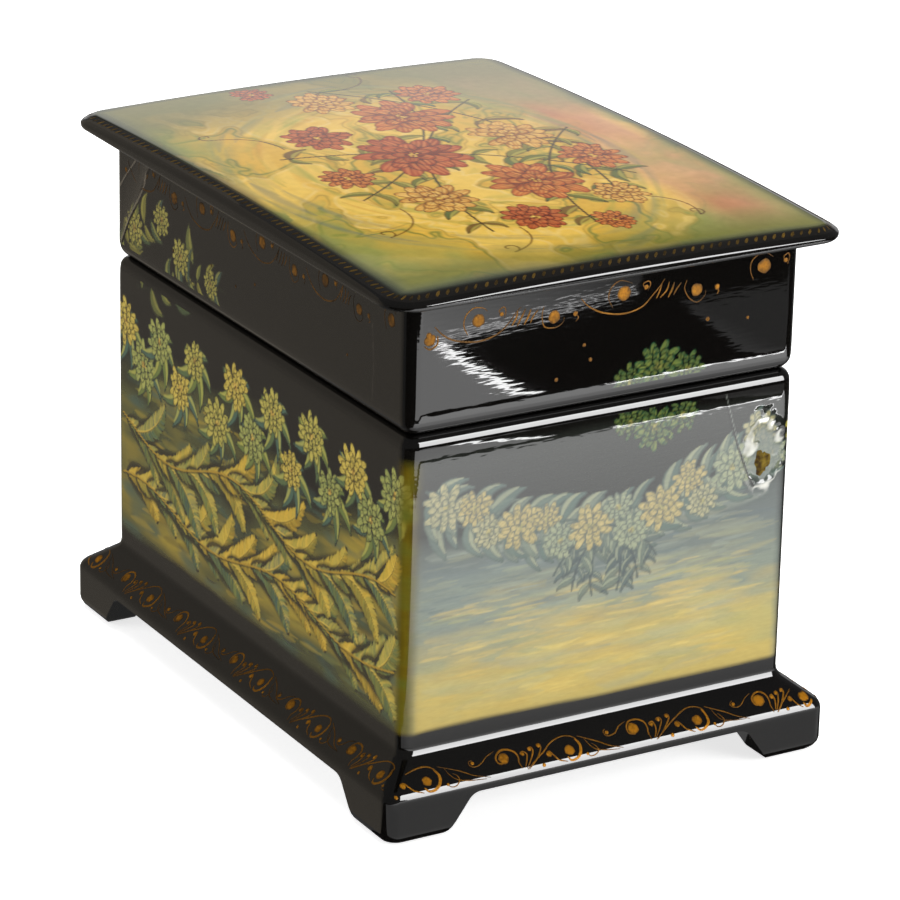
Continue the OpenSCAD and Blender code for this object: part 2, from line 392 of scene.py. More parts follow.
# %% Height of the pillow
CROWN, EDGE_R, PANEL_R = 2.36, 0.9, 7.0
FALL_X, FALL_Y = 0.72, 0.38
RUB, RUB_DEEP, RUB_POWER = 3.3, 1.3, 1.3


def pillow(x, y):
    """Height over the top of the flat panel, in mm."""
    x, y = np.abs(x), np.abs(y)
    qx, qy = x - (PANEL_W / 2 - PANEL_R), y - (PANEL_D / 2 - PANEL_R)
    inset = PANEL_R - np.hypot(np.maximum(qx, 0), np.maximum(qy, 0)) - np.minimum(np.maximum(qx, qy), 0)
    swell = CROWN * (1 - FALL_X * (2 * x / PANEL_W) ** 2 - FALL_Y * (2 * y / PANEL_D) ** 2)
    return swell - RUB_DEEP * np.clip(1 - inset / RUB, 0, 1) ** RUB_POWER


print("pillow", round(float(pillow(0, 0)), 2), "mm high in the middle")

# %% Lid panel with its pillow
NEAR_RIM = (1.2, 1.5, 1.9, 2.3, 2.7, 3.1, 3.6, 4.4, 5.6)
RED_X, RED_Y = BODY_W / 2 - LID_WALL / 2, BODY_D / 2 - LID_WALL / 2
lid_panel = rounded_block("lid_panel_lacquered", PANEL_W, PANEL_D, PANEL_Z, PANEL_Z + PANEL_T, PANEL_R, 10)
pick(lid_panel, edges=lambda e: abs(e.verts[0].co.z - e.verts[1].co.z) < 1e-6)
bevel(EDGE_R, 6)
pick(lid_panel, faces=every)
for axis, half, red_end in ((0, PANEL_W / 2, RED_X), (1, PANEL_D / 2, RED_Y)):
    even = list(np.linspace(-half + 7, half - 7, int(half / 2) + 1))
    close = [half - d for d in NEAR_RIM] + [red_end]
    for at in even + close + [-c for c in close]:
        point, away = [0, 0, 0], [0, 0, 0]
        point[axis], away[axis] = at * MM, 1
        bisect_all(point, away)
done()
low = PANEL_Z + EDGE_R
for v in lid_panel.data.vertices:
    x, y, z = v.co / MM
    if z > low:
        v.co.z = (z + float(pillow(x, y)) * (z - low) / (PANEL_T - EDGE_R)) * MM
smooth(lid_panel)
dress(lid_panel, "lid", "black_lacquer", black_lacquer, red_lacquer)
for face in lid_panel.data.polygons:
    x, y, z = face.center / MM
    if face.normal.z < -0.9 and abs(x) < RED_X and abs(y) < RED_Y:
        face.material_index = 1
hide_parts("lid_panel")
print("lid panel faces", len(lid_panel.data.polygons))

# %% [markdown]
# ## Plinth and bracket feet
# The plinth is a moulding: a cove against the wall, a slope, a rounded shoulder and a low upright
# face that runs down into the feet and is rounded again at the floor. A rectangle is extruded ring
# by ring along that section, the last ring is bridged to the first, and the hips are bevelled
# nearly as round as the walls.

# %% Section of the plinth
SOLE_R, SHOULDER_R, SHOULDER_Z, COVE_R, HIP_R = 3.0, 3.0, 9.5, 2.5, 2.6
BEHIND = -1.0  # the back of the moulding lies this far inside the wall


def arc(out, z, r, angles):
    return [(out + r * math.cos(a), z + r * math.sin(a)) for a in angles]


lean = math.radians(38.5)
tilts = np.linspace(0, math.pi / 2 - lean, 9)
shoulder = arc(PLINTH_OUT - SHOULDER_R, SHOULDER_Z, SHOULDER_R, tilts)
slope_out, slope_z = shoulder[-1]
cove_z = slope_out * math.tan(lean) + slope_z + COVE_R * (1 - math.sin(lean)) / math.cos(lean)
cove = arc(COVE_R, cove_z, -COVE_R, tilts[::-1])
sole = arc(PLINTH_OUT - SOLE_R, SOLE_R, SOLE_R, np.linspace(-math.pi / 2, 0, 6))
section = sole + shoulder + cove + [(BEHIND, cove_z), (BEHIND, 0.0)]
print("slope", round(math.degrees(lean), 1), "degrees, cove ends at", round(cove_z, 2))


# %% Plinth by extruding rings
def extrude_ring(rise, grow_x, grow_y, z=0.0):
    bpy.ops.mesh.extrude_region_move(TRANSFORM_OT_translate={"value": (0, 0, rise * MM)})
    bpy.ops.transform.resize(value=(grow_x, grow_y, 1), center_override=(0, 0, z * MM))


def hip(e):
    a, b = ends(e)
    corner = [min(abs(p.x) - BODY_W / 2, abs(p.y) - BODY_D / 2) > -0.5 for p in (a, b)]
    short = 1e-4 < (a - b).length and (a - b).xy.length < 9
    return all(corner) and short and a.x * b.x > 0 and a.y * b.y > 0


clear()
bpy.ops.mesh.primitive_plane_add(size=1, location=(0, 0, 0))
plinth = named("plinth_lacquered")
set_size(plinth, BODY_W + 2 * section[0][0], BODY_D + 2 * section[0][0], 1)
pick(plinth, faces=every)
bpy.ops.mesh.delete(type="ONLY_FACE")
bpy.context.tool_settings.mesh_select_mode = (False, True, False)
bpy.ops.mesh.select_all(action="SELECT")
for (out0, z0), (out1, z1) in zip(section, section[1:]):
    grow_x, grow_y = ((size + 2 * out1) / (size + 2 * out0) for size in (BODY_W, BODY_D))
    extrude_ring(z1 - z0, grow_x, grow_y, z1)
count = pick(plinth, edges=lambda e: e.is_boundary)
bpy.ops.mesh.bridge_edge_loops()
bpy.ops.mesh.select_all(action="SELECT")
bpy.ops.mesh.normals_make_consistent(inside=False)
hips = pick(plinth, edges=hip)
bevel(HIP_R, 9)
print("boundary edges", count, "hip edges", hips, "faces", len(plinth.data.polygons))

# %% [markdown]
# The feet are what is left when an opening is cut through from side to side. The opening's cutter is
# a block with its two upper edges bevelled to a fillet. Downwards it is extruded in steps that grow
# wider, first along the slope and then along an arc, so the feet end in a round. A bisect plane then
# parts the plinth from its four feet.

# %% Openings between the feet
FOOT_BASE, FOOT_TOP, FOOT_R = 13.7, 20.0, 3.0
THROUGH, BELOW = 400, -2.0
foot_slope = math.atan2(FOOT_H, FOOT_TOP - FOOT_BASE)
fillet = FOOT_R * math.tan(foot_slope / 2)
flare = arc(FOOT_BASE - fillet, FOOT_R, FOOT_R, np.linspace(foot_slope, 0, 6) - math.pi / 2)
for axis, half in ((0, BODY_W / 2 + PLINTH_OUT), (1, BODY_D / 2 + PLINTH_OUT)):
    def along(run, other):
        return (run, other) if axis == 0 else (other, run)

    wide, low = half - flare[0][0], flare[0][1]
    opening = block("opening", *along((half - FOOT_TOP) * 2, THROUGH), low, FOOT_H)
    pick(opening, faces=lambda f: f.normal.z < -0.9)
    bpy.ops.transform.resize(value=(*along(wide / (half - FOOT_TOP), 1), 1), center_override=(0, 0, 0))
    for (x0, z0), (x1, z1) in zip(flare, flare[1:] + [(flare[-1][0], BELOW)]):
        extrude_ring(z1 - z0, *along((half - x1) / (half - x0), 1))
    pick(opening, edges=lambda e: all(abs(p.z - FOOT_H) < 1e-3 for p in ends(e))
         and abs((ends(e)[0] - ends(e)[1])[1 - axis]) > 100)
    bevel(fillet, 7)
    cut(plinth, opening)
print("plinth with openings: faces", len(plinth.data.polygons))

# %% Part the plinth from its feet
only(plinth)
bpy.ops.object.duplicate()
feet = bpy.context.object
for piece, keep_low in ((plinth, False), (feet, True)):
    pick(piece, faces=every)
    bpy.ops.mesh.bisect(plane_co=(0, 0, (FOOT_H - 0.1) * MM), plane_no=(0, 0, 1), use_fill=True,
                        clear_inner=not keep_low, clear_outer=keep_low, threshold=1e-7)
    done()
smooth(plinth)
dress(plinth, "box", "black_lacquer", black_lacquer)
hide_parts("plinth_moulding")
pick(feet, faces=every)
bpy.ops.mesh.separate(type="LOOSE")
done()
for foot in list(bpy.context.selected_objects):
    middle = sum((v.co for v in foot.data.vertices), Vector()) / len(foot.data.vertices)
    node = "foot_" + ("front" if middle.y < 0 else "rear") + ("_left" if middle.x < 0 else "_right")
    foot.name = foot.data.name = node + "_lacquered"
    smooth(foot)
    dress(foot, "box", "black_lacquer", black_lacquer)
    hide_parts(node)
    print(foot.name, len(foot.data.polygons), "faces")

# %% [markdown]
# ## Painted sheets
# The sides and the lid are painted by hand in thin oil or tempera over the black ground, then sealed
# under the lacquer. The paint has no thickness to speak of, so it is modelled as fine sheets that
# lie three hundredths of a millimetre on the walls, with the colour kept at every point. The strokes
# are laid on a canvas of numbers first, soft brush marks one over the other, as on the real thing.

# %% Mixing and fading
def mixed(colour):
    """The three linear values of a hex value; a colour that is already mixed stays as it is."""
    return linear(colour)[:3] if isinstance(colour, str) else colour


def blend(a, b, t):
    return tuple((1 - t) * p + t * q for p, q in zip(mixed(a), mixed(b)))


def fade(x, soft=1.0):
    """Nothing up to 0, everything from soft on, and even between."""
    return np.clip(x / soft, 0, 1)


print("fade", fade(np.array([-1, 1, 3]), 2))


# %% A canvas for brush strokes
class Canvas:
    """Colours over u (along) and v (up), in mm. period is the length after which u comes round again."""

    def __init__(self, u, v, ground, period=None):
        self.u, self.v, self.period = np.asarray(u), np.asarray(v), period
        self.U, self.V = np.meshgrid(self.u, self.v)
        self.cell = float(self.u[1] - self.u[0])
        self.rgb = np.ones(self.U.shape + (3,)) * np.array(mixed(ground))

    def lay(self, cover, colour, rows=slice(None), cols=slice(None)):
        part = self.rgb[rows, cols]
        part += cover[..., None] * (np.array(mixed(colour)) - part)

    def clouds(self, size_u, size_v, seed, octaves=4, U=None, V=None):
        """Soft patches from 0 to 1, of about the given sizes, with finer ones in them."""
        U, V = (self.U, self.V) if U is None else (U, V)
        around = self.period or np.ptp(self.u) + 60
        total, weight = 0.0, 0.0
        for k in range(octaves):
            across = max(2, round(around / size_u * 2 ** k))
            up = int(np.ptp(self.v) / size_v * 2 ** k) + 4
            grid = np.random.default_rng(seed + 31 * k).random((up, across))
            a = (U - self.u[0]) * across / around
            b = (V - self.v[0]) / size_v * 2 ** k
            i, j = np.floor(a).astype(int), np.floor(b).astype(int)
            fa, fb = (f * f * (3 - 2 * f) for f in (a - i, b - j))
            j = np.clip(j, 0, up - 2)
            low = grid[j, i % across] * (1 - fa) + grid[j, (i + 1) % across] * fa
            high = grid[j + 1, i % across] * (1 - fa) + grid[j + 1, (i + 1) % across] * fa
            total = total + (low * (1 - fb) + high * fb) * 0.55 ** k
            weight = weight + 0.55 ** k
        return total / weight

    def stroke(self, points, width, colour, strength=1.0, soft=0.6):
        points = np.asarray(points, float)
        half = np.broadcast_to(np.asarray(width, float) / 2, len(points))
        pad = half.max() * 1.3 + 2 * self.cell
        at_seam = self.period and (points[:, 0].min() < 3 or points[:, 0].max() > self.period - 3)
        for turn in (0.0, self.period, -self.period) if at_seam else (0.0,):
            p = points + np.array([turn, 0])
            c0, c1 = np.searchsorted(self.u, (p[:, 0].min() - pad, p[:, 0].max() + pad))
            r0, r1 = np.searchsorted(self.v, (p[:, 1].min() - pad, p[:, 1].max() + pad))
            if c0 >= c1 or r0 >= r1:
                continue
            U, V = self.U[r0:r1, c0:c1], self.V[r0:r1, c0:c1]
            cover = np.zeros(U.shape)
            for a, b, wa, wb in zip(p, p[1:], half, half[1:]):
                d = b - a
                t = np.clip(((U - a[0]) * d[0] + (V - a[1]) * d[1]) / (d @ d + 1e-9), 0, 1)
                gap = np.hypot(U - a[0] - t * d[0], V - a[1] - t * d[1])
                w = wa + (wb - wa) * t
                edge = np.maximum(soft * w, 0.5 * self.cell)
                thin = np.minimum(1, w / (0.45 * self.cell))
                cover = np.maximum(cover, fade((w - gap) / edge + 0.5) * thin)
            self.lay(cover * strength, colour, slice(r0, r1), slice(c0, c1))


print("canvas ready")

# %% [markdown]
# The motifs are common ones: leafy branches, many-petalled blossoms, feathered leaves and tendrils.
# Each is a handful of strokes, dark ones first and light ones over them, with a seeded random
# number generator for the small unevenness of a hand.

# %% Leaves and branches
LEAF = np.array([0.15, 0.55, 0.85, 1.0, 0.95, 0.8, 0.55, 0.3, 0.08])


def bow(base, tip, bend, n=12):
    base, tip = np.asarray(base, float), np.asarray(tip, float)
    t = np.linspace(0, 1, n)[:, None]
    side = np.array([base[1] - tip[1], tip[0] - base[0]])
    return base + (tip - base) * t + side * bend * 4 * t * (1 - t)


def leaf(canvas, base, tip, wide, bend, tones, outline=0.5, strength=0.9):
    dark, fill, light = tones
    line = bow(base, tip, bend, 9)
    canvas.stroke(line + (0.12, -0.15), LEAF * wide + outline, dark, strength, 0.35)
    canvas.stroke(line, LEAF * wide, fill, strength, 0.5)
    side = np.array([line[0, 1] - line[-1, 1], line[-1, 0] - line[0, 0]])
    side = side / np.hypot(*side) * (1 if side[1] > 0 else -1)
    canvas.stroke(line[1:-1] + side * wide * 0.2, LEAF[1:-1] * wide * 0.4, light, strength * 0.75, 0.9)
    canvas.stroke(line, 0.22, dark, strength * 0.6)


def branch(canvas, r, line, long, dark, tones, light, every_nth=3, strength=0.9):
    canvas.stroke(line, 0.55, dark, strength)
    for k in range(1, len(line) - 1, every_nth):
        way = line[k + 1] - line[k]
        way = way / np.hypot(*way)
        for s in (-1, 1):
            if r.random() < 0.12:
                continue
            out = way * r.uniform(0.5, 0.9) + s * np.array([-way[1], way[0]]) * r.uniform(0.7, 1)
            reach = long * r.uniform(0.7, 1.15)
            wide, bend = reach * r.uniform(0.3, 0.44), s * r.uniform(0.08, 0.22)
            leaf(canvas, line[k], line[k] + out * reach, wide, bend,
                 (dark, tones[r.integers(len(tones))], light), 0.45, strength * r.uniform(0.75, 1))


print("leaf of", len(LEAF), "widths")

# %% Blossoms
RINGS = ((1.0, 11), (0.78, 9), (0.55, 7), (0.32, 5))  # size of a ring of petals, and their number
PETAL = np.array([0.3, 0.55, 0.8, 0.97, 1.0, 0.85, 0.5])


def blossom(canvas, r, at, size, tones, dark, tilt=0.8, eye=("#c99a3c", "#6c3418", "#dcb95c"), hand=0.95):
    at = np.asarray(at, float)
    for ring, (scale, petals) in enumerate(RINGS):
        reach = size * scale
        wide = reach * 3.6 / petals
        shape = PETAL * wide
        for k in r.permutation(petals):
            a = 2 * math.pi * (k + 0.5 * ring) / petals + r.normal(0, 0.1)
            way = np.array([math.cos(a), math.sin(a) * tilt])
            tip = at + way * reach * r.uniform(0.9, 1.08)
            line = bow(at + way * reach * 0.25, tip, r.uniform(-0.08, 0.08), 7)
            canvas.stroke(line, shape + 0.5, dark, hand, 0.2)
            canvas.stroke(line, shape, blend(tones[0], tones[1], r.uniform(0, 1)), hand, 0.3)
            canvas.stroke(line[:4], shape[:4] * 0.75, tones[2], 0.8 * hand, 0.9)
            for off in (-0.25, 0.05, 0.3):
                side = np.array([-way[1], way[0]]) * wide * off
                faint = hand * r.uniform(0.35, 0.8)
                canvas.stroke(line[3:] + side, shape[3:] * 0.16 + 0.1, tones[3], faint, 0.8)
    for k in range(14):
        a, d = r.uniform(0, 6.3), r.uniform(0, 0.14)
        p = at + size * d * np.array([math.cos(a), math.sin(a) * tilt])
        canvas.stroke([p, p + 0.05], 0.6, eye[k % 3], hand, 0.5)


print("blossom of", sum(petals for scale, petals in RINGS), "petals")

# %% Feathered leaves and dashes
BARB = np.array([0.8, 1, 0.9, 0.65, 0.3])
DASH = np.array([0.3, 0.9, 1.0, 0.9, 0.6, 0.2])


def plume(canvas, r, base, tip, wide, bend, dark, tones, light, strength=0.9):
    """A long feathered leaf: a dark shape, rows of curved strokes from the rib outwards, and a light rib."""
    line = bow(base, tip, bend, 22)
    way = np.gradient(line, axis=0)
    way /= np.hypot(way[:, 0], way[:, 1])[:, None]
    side = np.stack([-way[:, 1], way[:, 0]], 1)
    shape = wide * np.sin(math.pi * np.linspace(0.03, 0.97, 22) ** 0.8) ** 0.8
    canvas.stroke(line, 2 * shape + 0.6, dark, strength, 0.3)
    for k in range(21):
        for s in (-1, 1):
            for n in range(3):
                at = line[k] + (line[k + 1] - line[k]) * n / 3
                out = s * side[k] * shape[k] * r.uniform(0.75, 1.0)
                end = at + out + way[k] * shape[k] * r.uniform(0.5, 0.9)
                lit = s * side[k][1] > 0
                tone = blend(tones[r.integers(len(tones))], light if lit else dark, r.uniform(0, 0.55))
                barb = r.uniform(0.5, 0.95) * BARB
                canvas.stroke(bow(at, end, 0.1 * s, 5), barb, tone, strength * r.uniform(0.6, 1), 0.5)
    canvas.stroke(line, np.linspace(0.5, 0.2, 22), dark, strength * 0.8)
    canvas.stroke(line + side * 0.18, np.linspace(0.35, 0.15, 22), light, strength * 0.8)


def dashes(canvas, r, box, tones, count, long, wide, strength, tilt):
    """Short level strokes in a box from u0 to u1 and v0 to v1."""
    u0, u1, v0, v1 = box
    for k in range(count):
        u, v = r.uniform(u0, u1), r.uniform(v0, v1)
        reach = long * r.uniform(0.4, 1.2)
        end = (u + reach, v + reach * (tilt + r.normal(0, 0.03)))
        line = bow((u, v), end, r.normal(0, 0.03), 6)
        shape = wide * r.uniform(0.5, 1.3) * DASH
        canvas.stroke(line, shape, tones[r.integers(len(tones))], strength * r.uniform(0.4, 1), 1.0)


print("feathered leaf of", 21 * 2 * 3, "barbs")

# %% [markdown]
# ## The sides
# One canvas runs all the way round the four walls, lid and body together, because a painter works
# over the closed box. Its length follows the outline of the walls with their rounded corners.

# %% Outline of the walls
def outline(u, w, d, r):
    """Place and outward direction on a rounded rectangle, u from the middle of the front left corner."""
    quarter = r * math.pi / 2
    runs = [w - 2 * r + quarter, d - 2 * r + quarter] * 2
    u = np.asarray(u) % sum(runs)
    x, y, nx, ny = (np.zeros(u.shape) for _ in range(4))
    start = 0.0
    for k, (run, corner) in enumerate(zip(runs, ((-1, -1), (1, -1), (1, 1), (-1, 1)))):
        here = (u >= start - 1e-9) & (u < start + run - 1e-9)
        s = u[here] - start
        a0 = math.pi * (1.5 + 0.5 * k)
        late = np.where(s > run - quarter / 2, (s - run + quarter / 2) / r, 0)
        bend = np.where(s < quarter / 2, (s - quarter / 2) / r, late)
        along = np.clip(s - quarter / 2, 0, run - quarter)
        nx[here], ny[here] = np.cos(a0 + bend), np.sin(a0 + bend)
        x[here] = corner[0] * (w / 2 - r) - math.sin(a0) * along + r * nx[here]
        y[here] = corner[1] * (d / 2 - r) + math.cos(a0) * along + r * ny[here]
        start += run
    return x, y, nx, ny


LONG, SHORT = (size - 2 * CORNER_R + CORNER_R * math.pi / 2 for size in (BODY_W, BODY_D))
ROUND = 2 * (LONG + SHORT)
LONG_CELLS, SHORT_CELLS, ROW_CELLS = 396, 280, 288
PAINT_FOOT = 19.8
walls_in_order = ((0, LONG, LONG_CELLS), (LONG, SHORT, SHORT_CELLS),
                  (LONG + SHORT, LONG, LONG_CELLS), (2 * LONG + SHORT, SHORT, SHORT_CELLS))
u_line = np.concatenate([np.linspace(a, a + run, n, endpoint=False) for a, run, n in walls_in_order])
z_line = np.linspace(PAINT_FOOT, PANEL_Z, ROW_CELLS + 1)
sides = Canvas(u_line, z_line, "#080706", ROUND)
U, V = sides.U, sides.V
print("outline", round(ROUND, 2), "mm,", len(u_line), "columns,", len(z_line), "rows")

# %% [markdown]
# The long sides and the far end have a dark ground. Two stems run along each of them, with long
# feathered leaves of ochre, olive and blue-green to both sides. Over them stand blossoms of dull
# yellow with small leafy sprigs, as on many painted trays and boxes.

# %% Ground of the dark sides
cloud = sides.clouds(30, 10, 11, 3)
fine = sides.clouds(9, 3, 12, 2)


def dark_ground(r, u0, run):
    here = fade(U - u0 - 0.6, 2) * fade(u0 + run - 0.6 - U, 2)
    foot = here * fade(V - 20.8 - 4 * (cloud - 0.5), 2.5)
    sides.lay(fade(67 + 26 * (cloud - 0.5) - V, 12) * foot * 0.9, "#474829")
    sides.lay(fade(3.4 * (cloud - 0.42)) * fade(63 - V, 10) * foot * 0.9, "#907c2c")
    sides.lay(fade(3.4 * (fine - 0.52)) * fade(66 - V, 10) * foot * 0.7, "#384b41")
    sides.lay(fade(4 * (0.36 - cloud)) * fade(60 - V, 10) * foot * 0.85, "#1d1913")
    earths = ("#96802a", "#6a6830", "#3b4f45", "#a88a2c", "#2a271c")
    dashes(sides, r, (u0 + 2, u0 + run - 13, 23, 62), earths, int(run * 1.8), 12, 1.3, 0.5, 0.05)


print("clouds from", round(float(cloud.min()), 2), "to", round(float(cloud.max()), 2))

# %% Stems and blossoms of the dark sides
STEM_DARK = "#1d1a10"
OCHRES = (("#a58628", "#b8942e", "#8e7e2e"), ("#857c32", "#968734", "#ab8d2e"),
          ("#56643f", "#70763a", "#877f36"), ("#3f564a", "#56663f", "#6f753c"))
YELLOWS = (("#7a7836", "#989040", "#3f4022", "#c6b256"), ("#64703f", "#818446", "#30402e", "#aba858"),
           ("#8f7d30", "#aa933a", "#4e4420", "#d2ba58"))
SPRIG = ("#4c5c3a", "#5f6a34", "#3f5648")


def stems(r, u0, run):
    for level, wave, start in ((33, 2.5, 0.4), (47, 3.5, 2.4)):
        u = np.linspace(u0 + 3, u0 + run - 3, 90)
        turns = 2 * math.pi * (u - u0) / (run / round(run / 60)) + start
        stem = np.stack([u, level + wave * np.sin(turns)], 1)
        count = int(run / 5.2)
        for k in range(count):
            at = stem[2 + int(86 * k / count)]
            s = 1 if k % 2 else -1
            out = np.array([r.uniform(0.85, 1.0), s * r.uniform(0.35, 0.7)]) * r.uniform(13, 19)
            tip = np.clip(at + out, (u0 + 3, 23.5), (u0 + run - 2.5, 64))
            plume(sides, r, at, tip, r.uniform(2.7, 3.9), -s * r.uniform(0.1, 0.22), STEM_DARK,
                  OCHRES[r.integers(4)], "#cfae46")
        sides.stroke(stem, 0.8, STEM_DARK, 0.8)
        sides.stroke(stem + (0, 0.15), 0.4, "#b08c2c", 0.7)


def blossom_row(r, u0, run):
    count = round(run / 8.8)
    for k in range(count):
        u = u0 + run * (k + 0.5) / count + r.uniform(-1, 1)
        v = 66.5 + 4.4 * (-1) ** k + r.uniform(-1.2, 1.2)
        for splay in (-1.7, -1.1, -0.4, 0.5, 1.2, 1.8):
            way = np.array([math.sin(splay * 1.6), -0.35 + 0.8 * math.cos(splay * 1.6)])
            tip = np.array([u, v]) + r.uniform(7, 9.5) * way
            tip = np.clip(tip, (u0 + 1.5, 0), (u0 + run - 1.5, 79))
            leaf(sides, (u, v), tip, 2.8, 0.15, ("#17201a", SPRIG[r.integers(3)], "#a29c48"))
        blossom(sides, r, (u, v), r.uniform(4.4, 5.8), YELLOWS[r.integers(3)], "#1d1c12", 0.95,
                ("#a8863a", "#4a3a1c", "#c0a24c"), 0.85)


print("tones of the stems:", len(OCHRES), "of the blossoms:", len(YELLOWS))

# %% Front, back and left end
for side, u0, run, seed in (("front", 0, LONG, 101), ("back", LONG + SHORT, LONG, 202),
                            ("left end", 2 * LONG + SHORT, SHORT, 303)):
    r = np.random.default_rng(seed)
    dark_ground(r, u0, run)
    stems(r, u0, run)
    blossom_row(r, u0, run)
    print(side, "painted")

# %% [markdown]
# The right end is paler: soft level washes run from yellow and cream at the foot through grey-blue
# to slate. A garland of pale blossoms hangs from corner to corner over the black, with a spray at
# its middle. A strip of mustard runs down the near corner.

# %% Washes of the right end
r = np.random.default_rng(404)
END = LONG  # where the right end starts on the canvas
FAR = END + SHORT
share = fade(U - END - 0.5, 2.5) * fade(FAR - 0.5 - U, 2.5)
sides.lay(share * fade(64 + 8 * (cloud - 0.5) - V, 9), "#505856")
sides.lay(share * fade(55 + 8 * (cloud - 0.5) - V, 9), "#6b7366")
sides.lay(share * fade(43 + 22 * (cloud - 0.5) - V, 14) * 0.95, "#9b9156")
sides.lay(share * fade(38 + 30 * (fine - 0.5) - V, 16) * 0.6, "#b0974a")
creams = ("#b0984a", "#a89d62", "#b49b50", "#948f66", "#7c8372", "#a08844")
slates = ("#667270", "#556162", "#788070", "#868563", "#465255")
dashes(sides, r, (END + 2, FAR - 22, 23, 48), creams, 170, 22, 2.4, 0.35, 0.01)
dashes(sides, r, (END + 2, FAR - 20, 42, 60), slates, 130, 18, 1.8, 0.4, 0.01)
mist = np.exp(-((U - END - 14) / 14) ** 2 - ((V - 46) / 11) ** 2)
sides.lay(fade(share * mist * (0.3 + 0.6 * fine)), "#667068")
fine_creams = ("#c0a655", "#979052", "#c8ae5e", "#8a8a5c", "#b69a4c")
fine_slates = ("#4a5658", "#7d8578", "#868868", "#465255")
dashes(sides, r, (END + 2, FAR - 12, 23, 47), fine_creams, 260, 10, 0.6, 0.38, 0.015)
dashes(sides, r, (END + 2, FAR - 12, 43, 59), fine_slates, 170, 9, 0.55, 0.42, 0.015)
print("washes of the right end painted")

# %% Garland of the right end
u = np.linspace(4, SHORT - 4, 40)
garland = np.stack([END + u, 58 + 15 * ((u - SHORT / 2) / (SHORT / 2)) ** 2], 1)
leaf_greys, spray_greys = ("#55635a", "#667060", "#4a5d54"), ("#3f4c4b", "#4c5956", "#5d685a")
for shift in (-2.2, 0, 2.2):
    branch(sides, r, garland + (0, shift), 7.0, "#364340", leaf_greys, "#949474", 2, 0.85)
middle = garland[20]
for s in (-1, 1):
    for splay in (0.2, 0.55, 0.95):
        tip = middle + 15 * np.array([s * math.sin(splay), -math.cos(splay)])
        branch(sides, r, bow(middle, tip, 0.12 * s, 14), 4.2, "#2f3a3a", spray_greys, "#858a6e", 2, 0.8)
PALES = (("#7f7d5c", "#979068", "#4c544c", "#b9ae7c"), ("#6c7662", "#838a6c", "#445049", "#a3a47a"),
         ("#8a7a48", "#a08f54", "#545140", "#bfac6e"))
for k, at in enumerate(garland[2:-1:4]):
    for shift in ((-1.5, 3.2), (1.8, -2.4)) if k % 2 else ((0.5, 0.4),):
        size = r.uniform(3.2, 4.2) if k % 2 else 5.0
        blossom(sides, r, at + shift, size, PALES[r.integers(3)], "#414b46", 0.95,
                ("#8a8450", "#4e5044", "#a0935c"), 0.72)
# A faint grey veil from the garland up to the groove is a painted reflection: the haze the gloss shows
# there.
sides.lay(share * fade(82 - V, 3) * fade(V - 48, 8) * 0.1, "#666d64")
corner = np.exp(-((U - END) / 1.9) ** 2) * fade(80 - V, 3)
sides.lay(corner * (0.5 + 0.5 * fine), "#6a5a12")
sides.lay(corner * fade(fine * 2.2 - 0.9) * 0.8, "#4c541f")
print("right end painted")

# %% [markdown]
# Black borders close the painting at the foot and at the groove. On the lid's walls only a few dim
# sprigs stand on the black, and a cluster of small green blossoms sits across the groove.

# %% Black borders
BORDER, GROUND = "#0c0b09", "#0f0d0b"
rim = fade(V - 77 - 5 * (cloud - 0.5), 4) * fade(87 - V) * 0.95
sides.lay(rim * fade(0.5 + fine), BORDER)
sides.lay(fade(21.4 + 1.4 * (cloud - 0.5) - V), BORDER)


def dimmed(part, *codes):
    return [blend(GROUND, code, part) for code in codes]


dim = dimmed(0.7, "#4c5c3a", "#6d7138", "#3f5648", "#7c7634")
pale = dimmed(0.75, "#7c7a38", "#989040", "#45482a", "#c3b25a")
green = dimmed(0.75, "#1f4432", "#2c5638", "#14281e", "#8a9040")
for base, tip, bend, n in (((3, 84), (24, 99), 0.12, 16), ((10, 80), (40, 97), -0.1, 16),
                           ((26, 82), (52, 91), 0.12, 14)):
    branch(sides, r, bow(base, tip, bend, n), 6.2, "#15170f", dim, blend(GROUND, "#a39a48", 0.6), 2, 0.85)
for at, size in (((9, 93), 4.0), ((22, 98.5), 3.6), ((31, 93), 3.8), ((45, 91), 3.0)):
    blossom(sides, r, at, size, pale, "#15150f", 0.95, ("#7a6230", "#3a2c16", "#8c7638"), 0.85)
for u, v, size in ((50.6, 88.2, 3.8), (64.2, 88.6, 4.0), (57, 90.2, 5.4),
                   (51, 79.2, 3.6), (63.6, 78.8, 3.6), (57, 77.2, 5.0)):
    blossom(sides, r, (END + u, v), size, green, "#0d120e", 0.95, ("#6e6a34", "#23301f", "#8c8440"), 0.85)
print("borders painted")

# %% [markdown]
# The end has been knocked near its upper right corner. The lacquer is cracked there from the rim
# downwards, and beside the crack it has lifted in a ragged ring around a chip, where an olive brown
# ground shows. The front of the lid has two slanting splits at its far end, and one fine crack near
# the other.

# %% Crack and chip
y0 = END + CORNER_R * math.pi / 4 + BODY_D / 2 - CORNER_R  # the middle of the right end
crack = np.array([(28.5, 81.5), (30.6, 74.5), (32.4, 69.2), (34.5, 63.8), (36.4, 60.2)]) + (y0, 0)
CHIP_U, CHIP_V = y0 + 38.6, 67.0
grit = sides.clouds(2.6, 2.2, 61, 2)
chip = np.hypot((U - CHIP_U) / 3.9, (V - CHIP_V) / 6.4) + 0.9 * (grit - 0.5)
sides.lay(fade(1.0 - chip, 0.3) * 0.75, "#5d645d")
# The pale ragged ring round the chip is partly the whitening of cracked lacquer and partly painted glints on
# the edge of the lifted flake.
sides.lay(fade(0.34 - np.abs(chip - 1.12), 0.12) * fade(5 * (grit - 0.46)) * 0.9, "#c4c4bc")
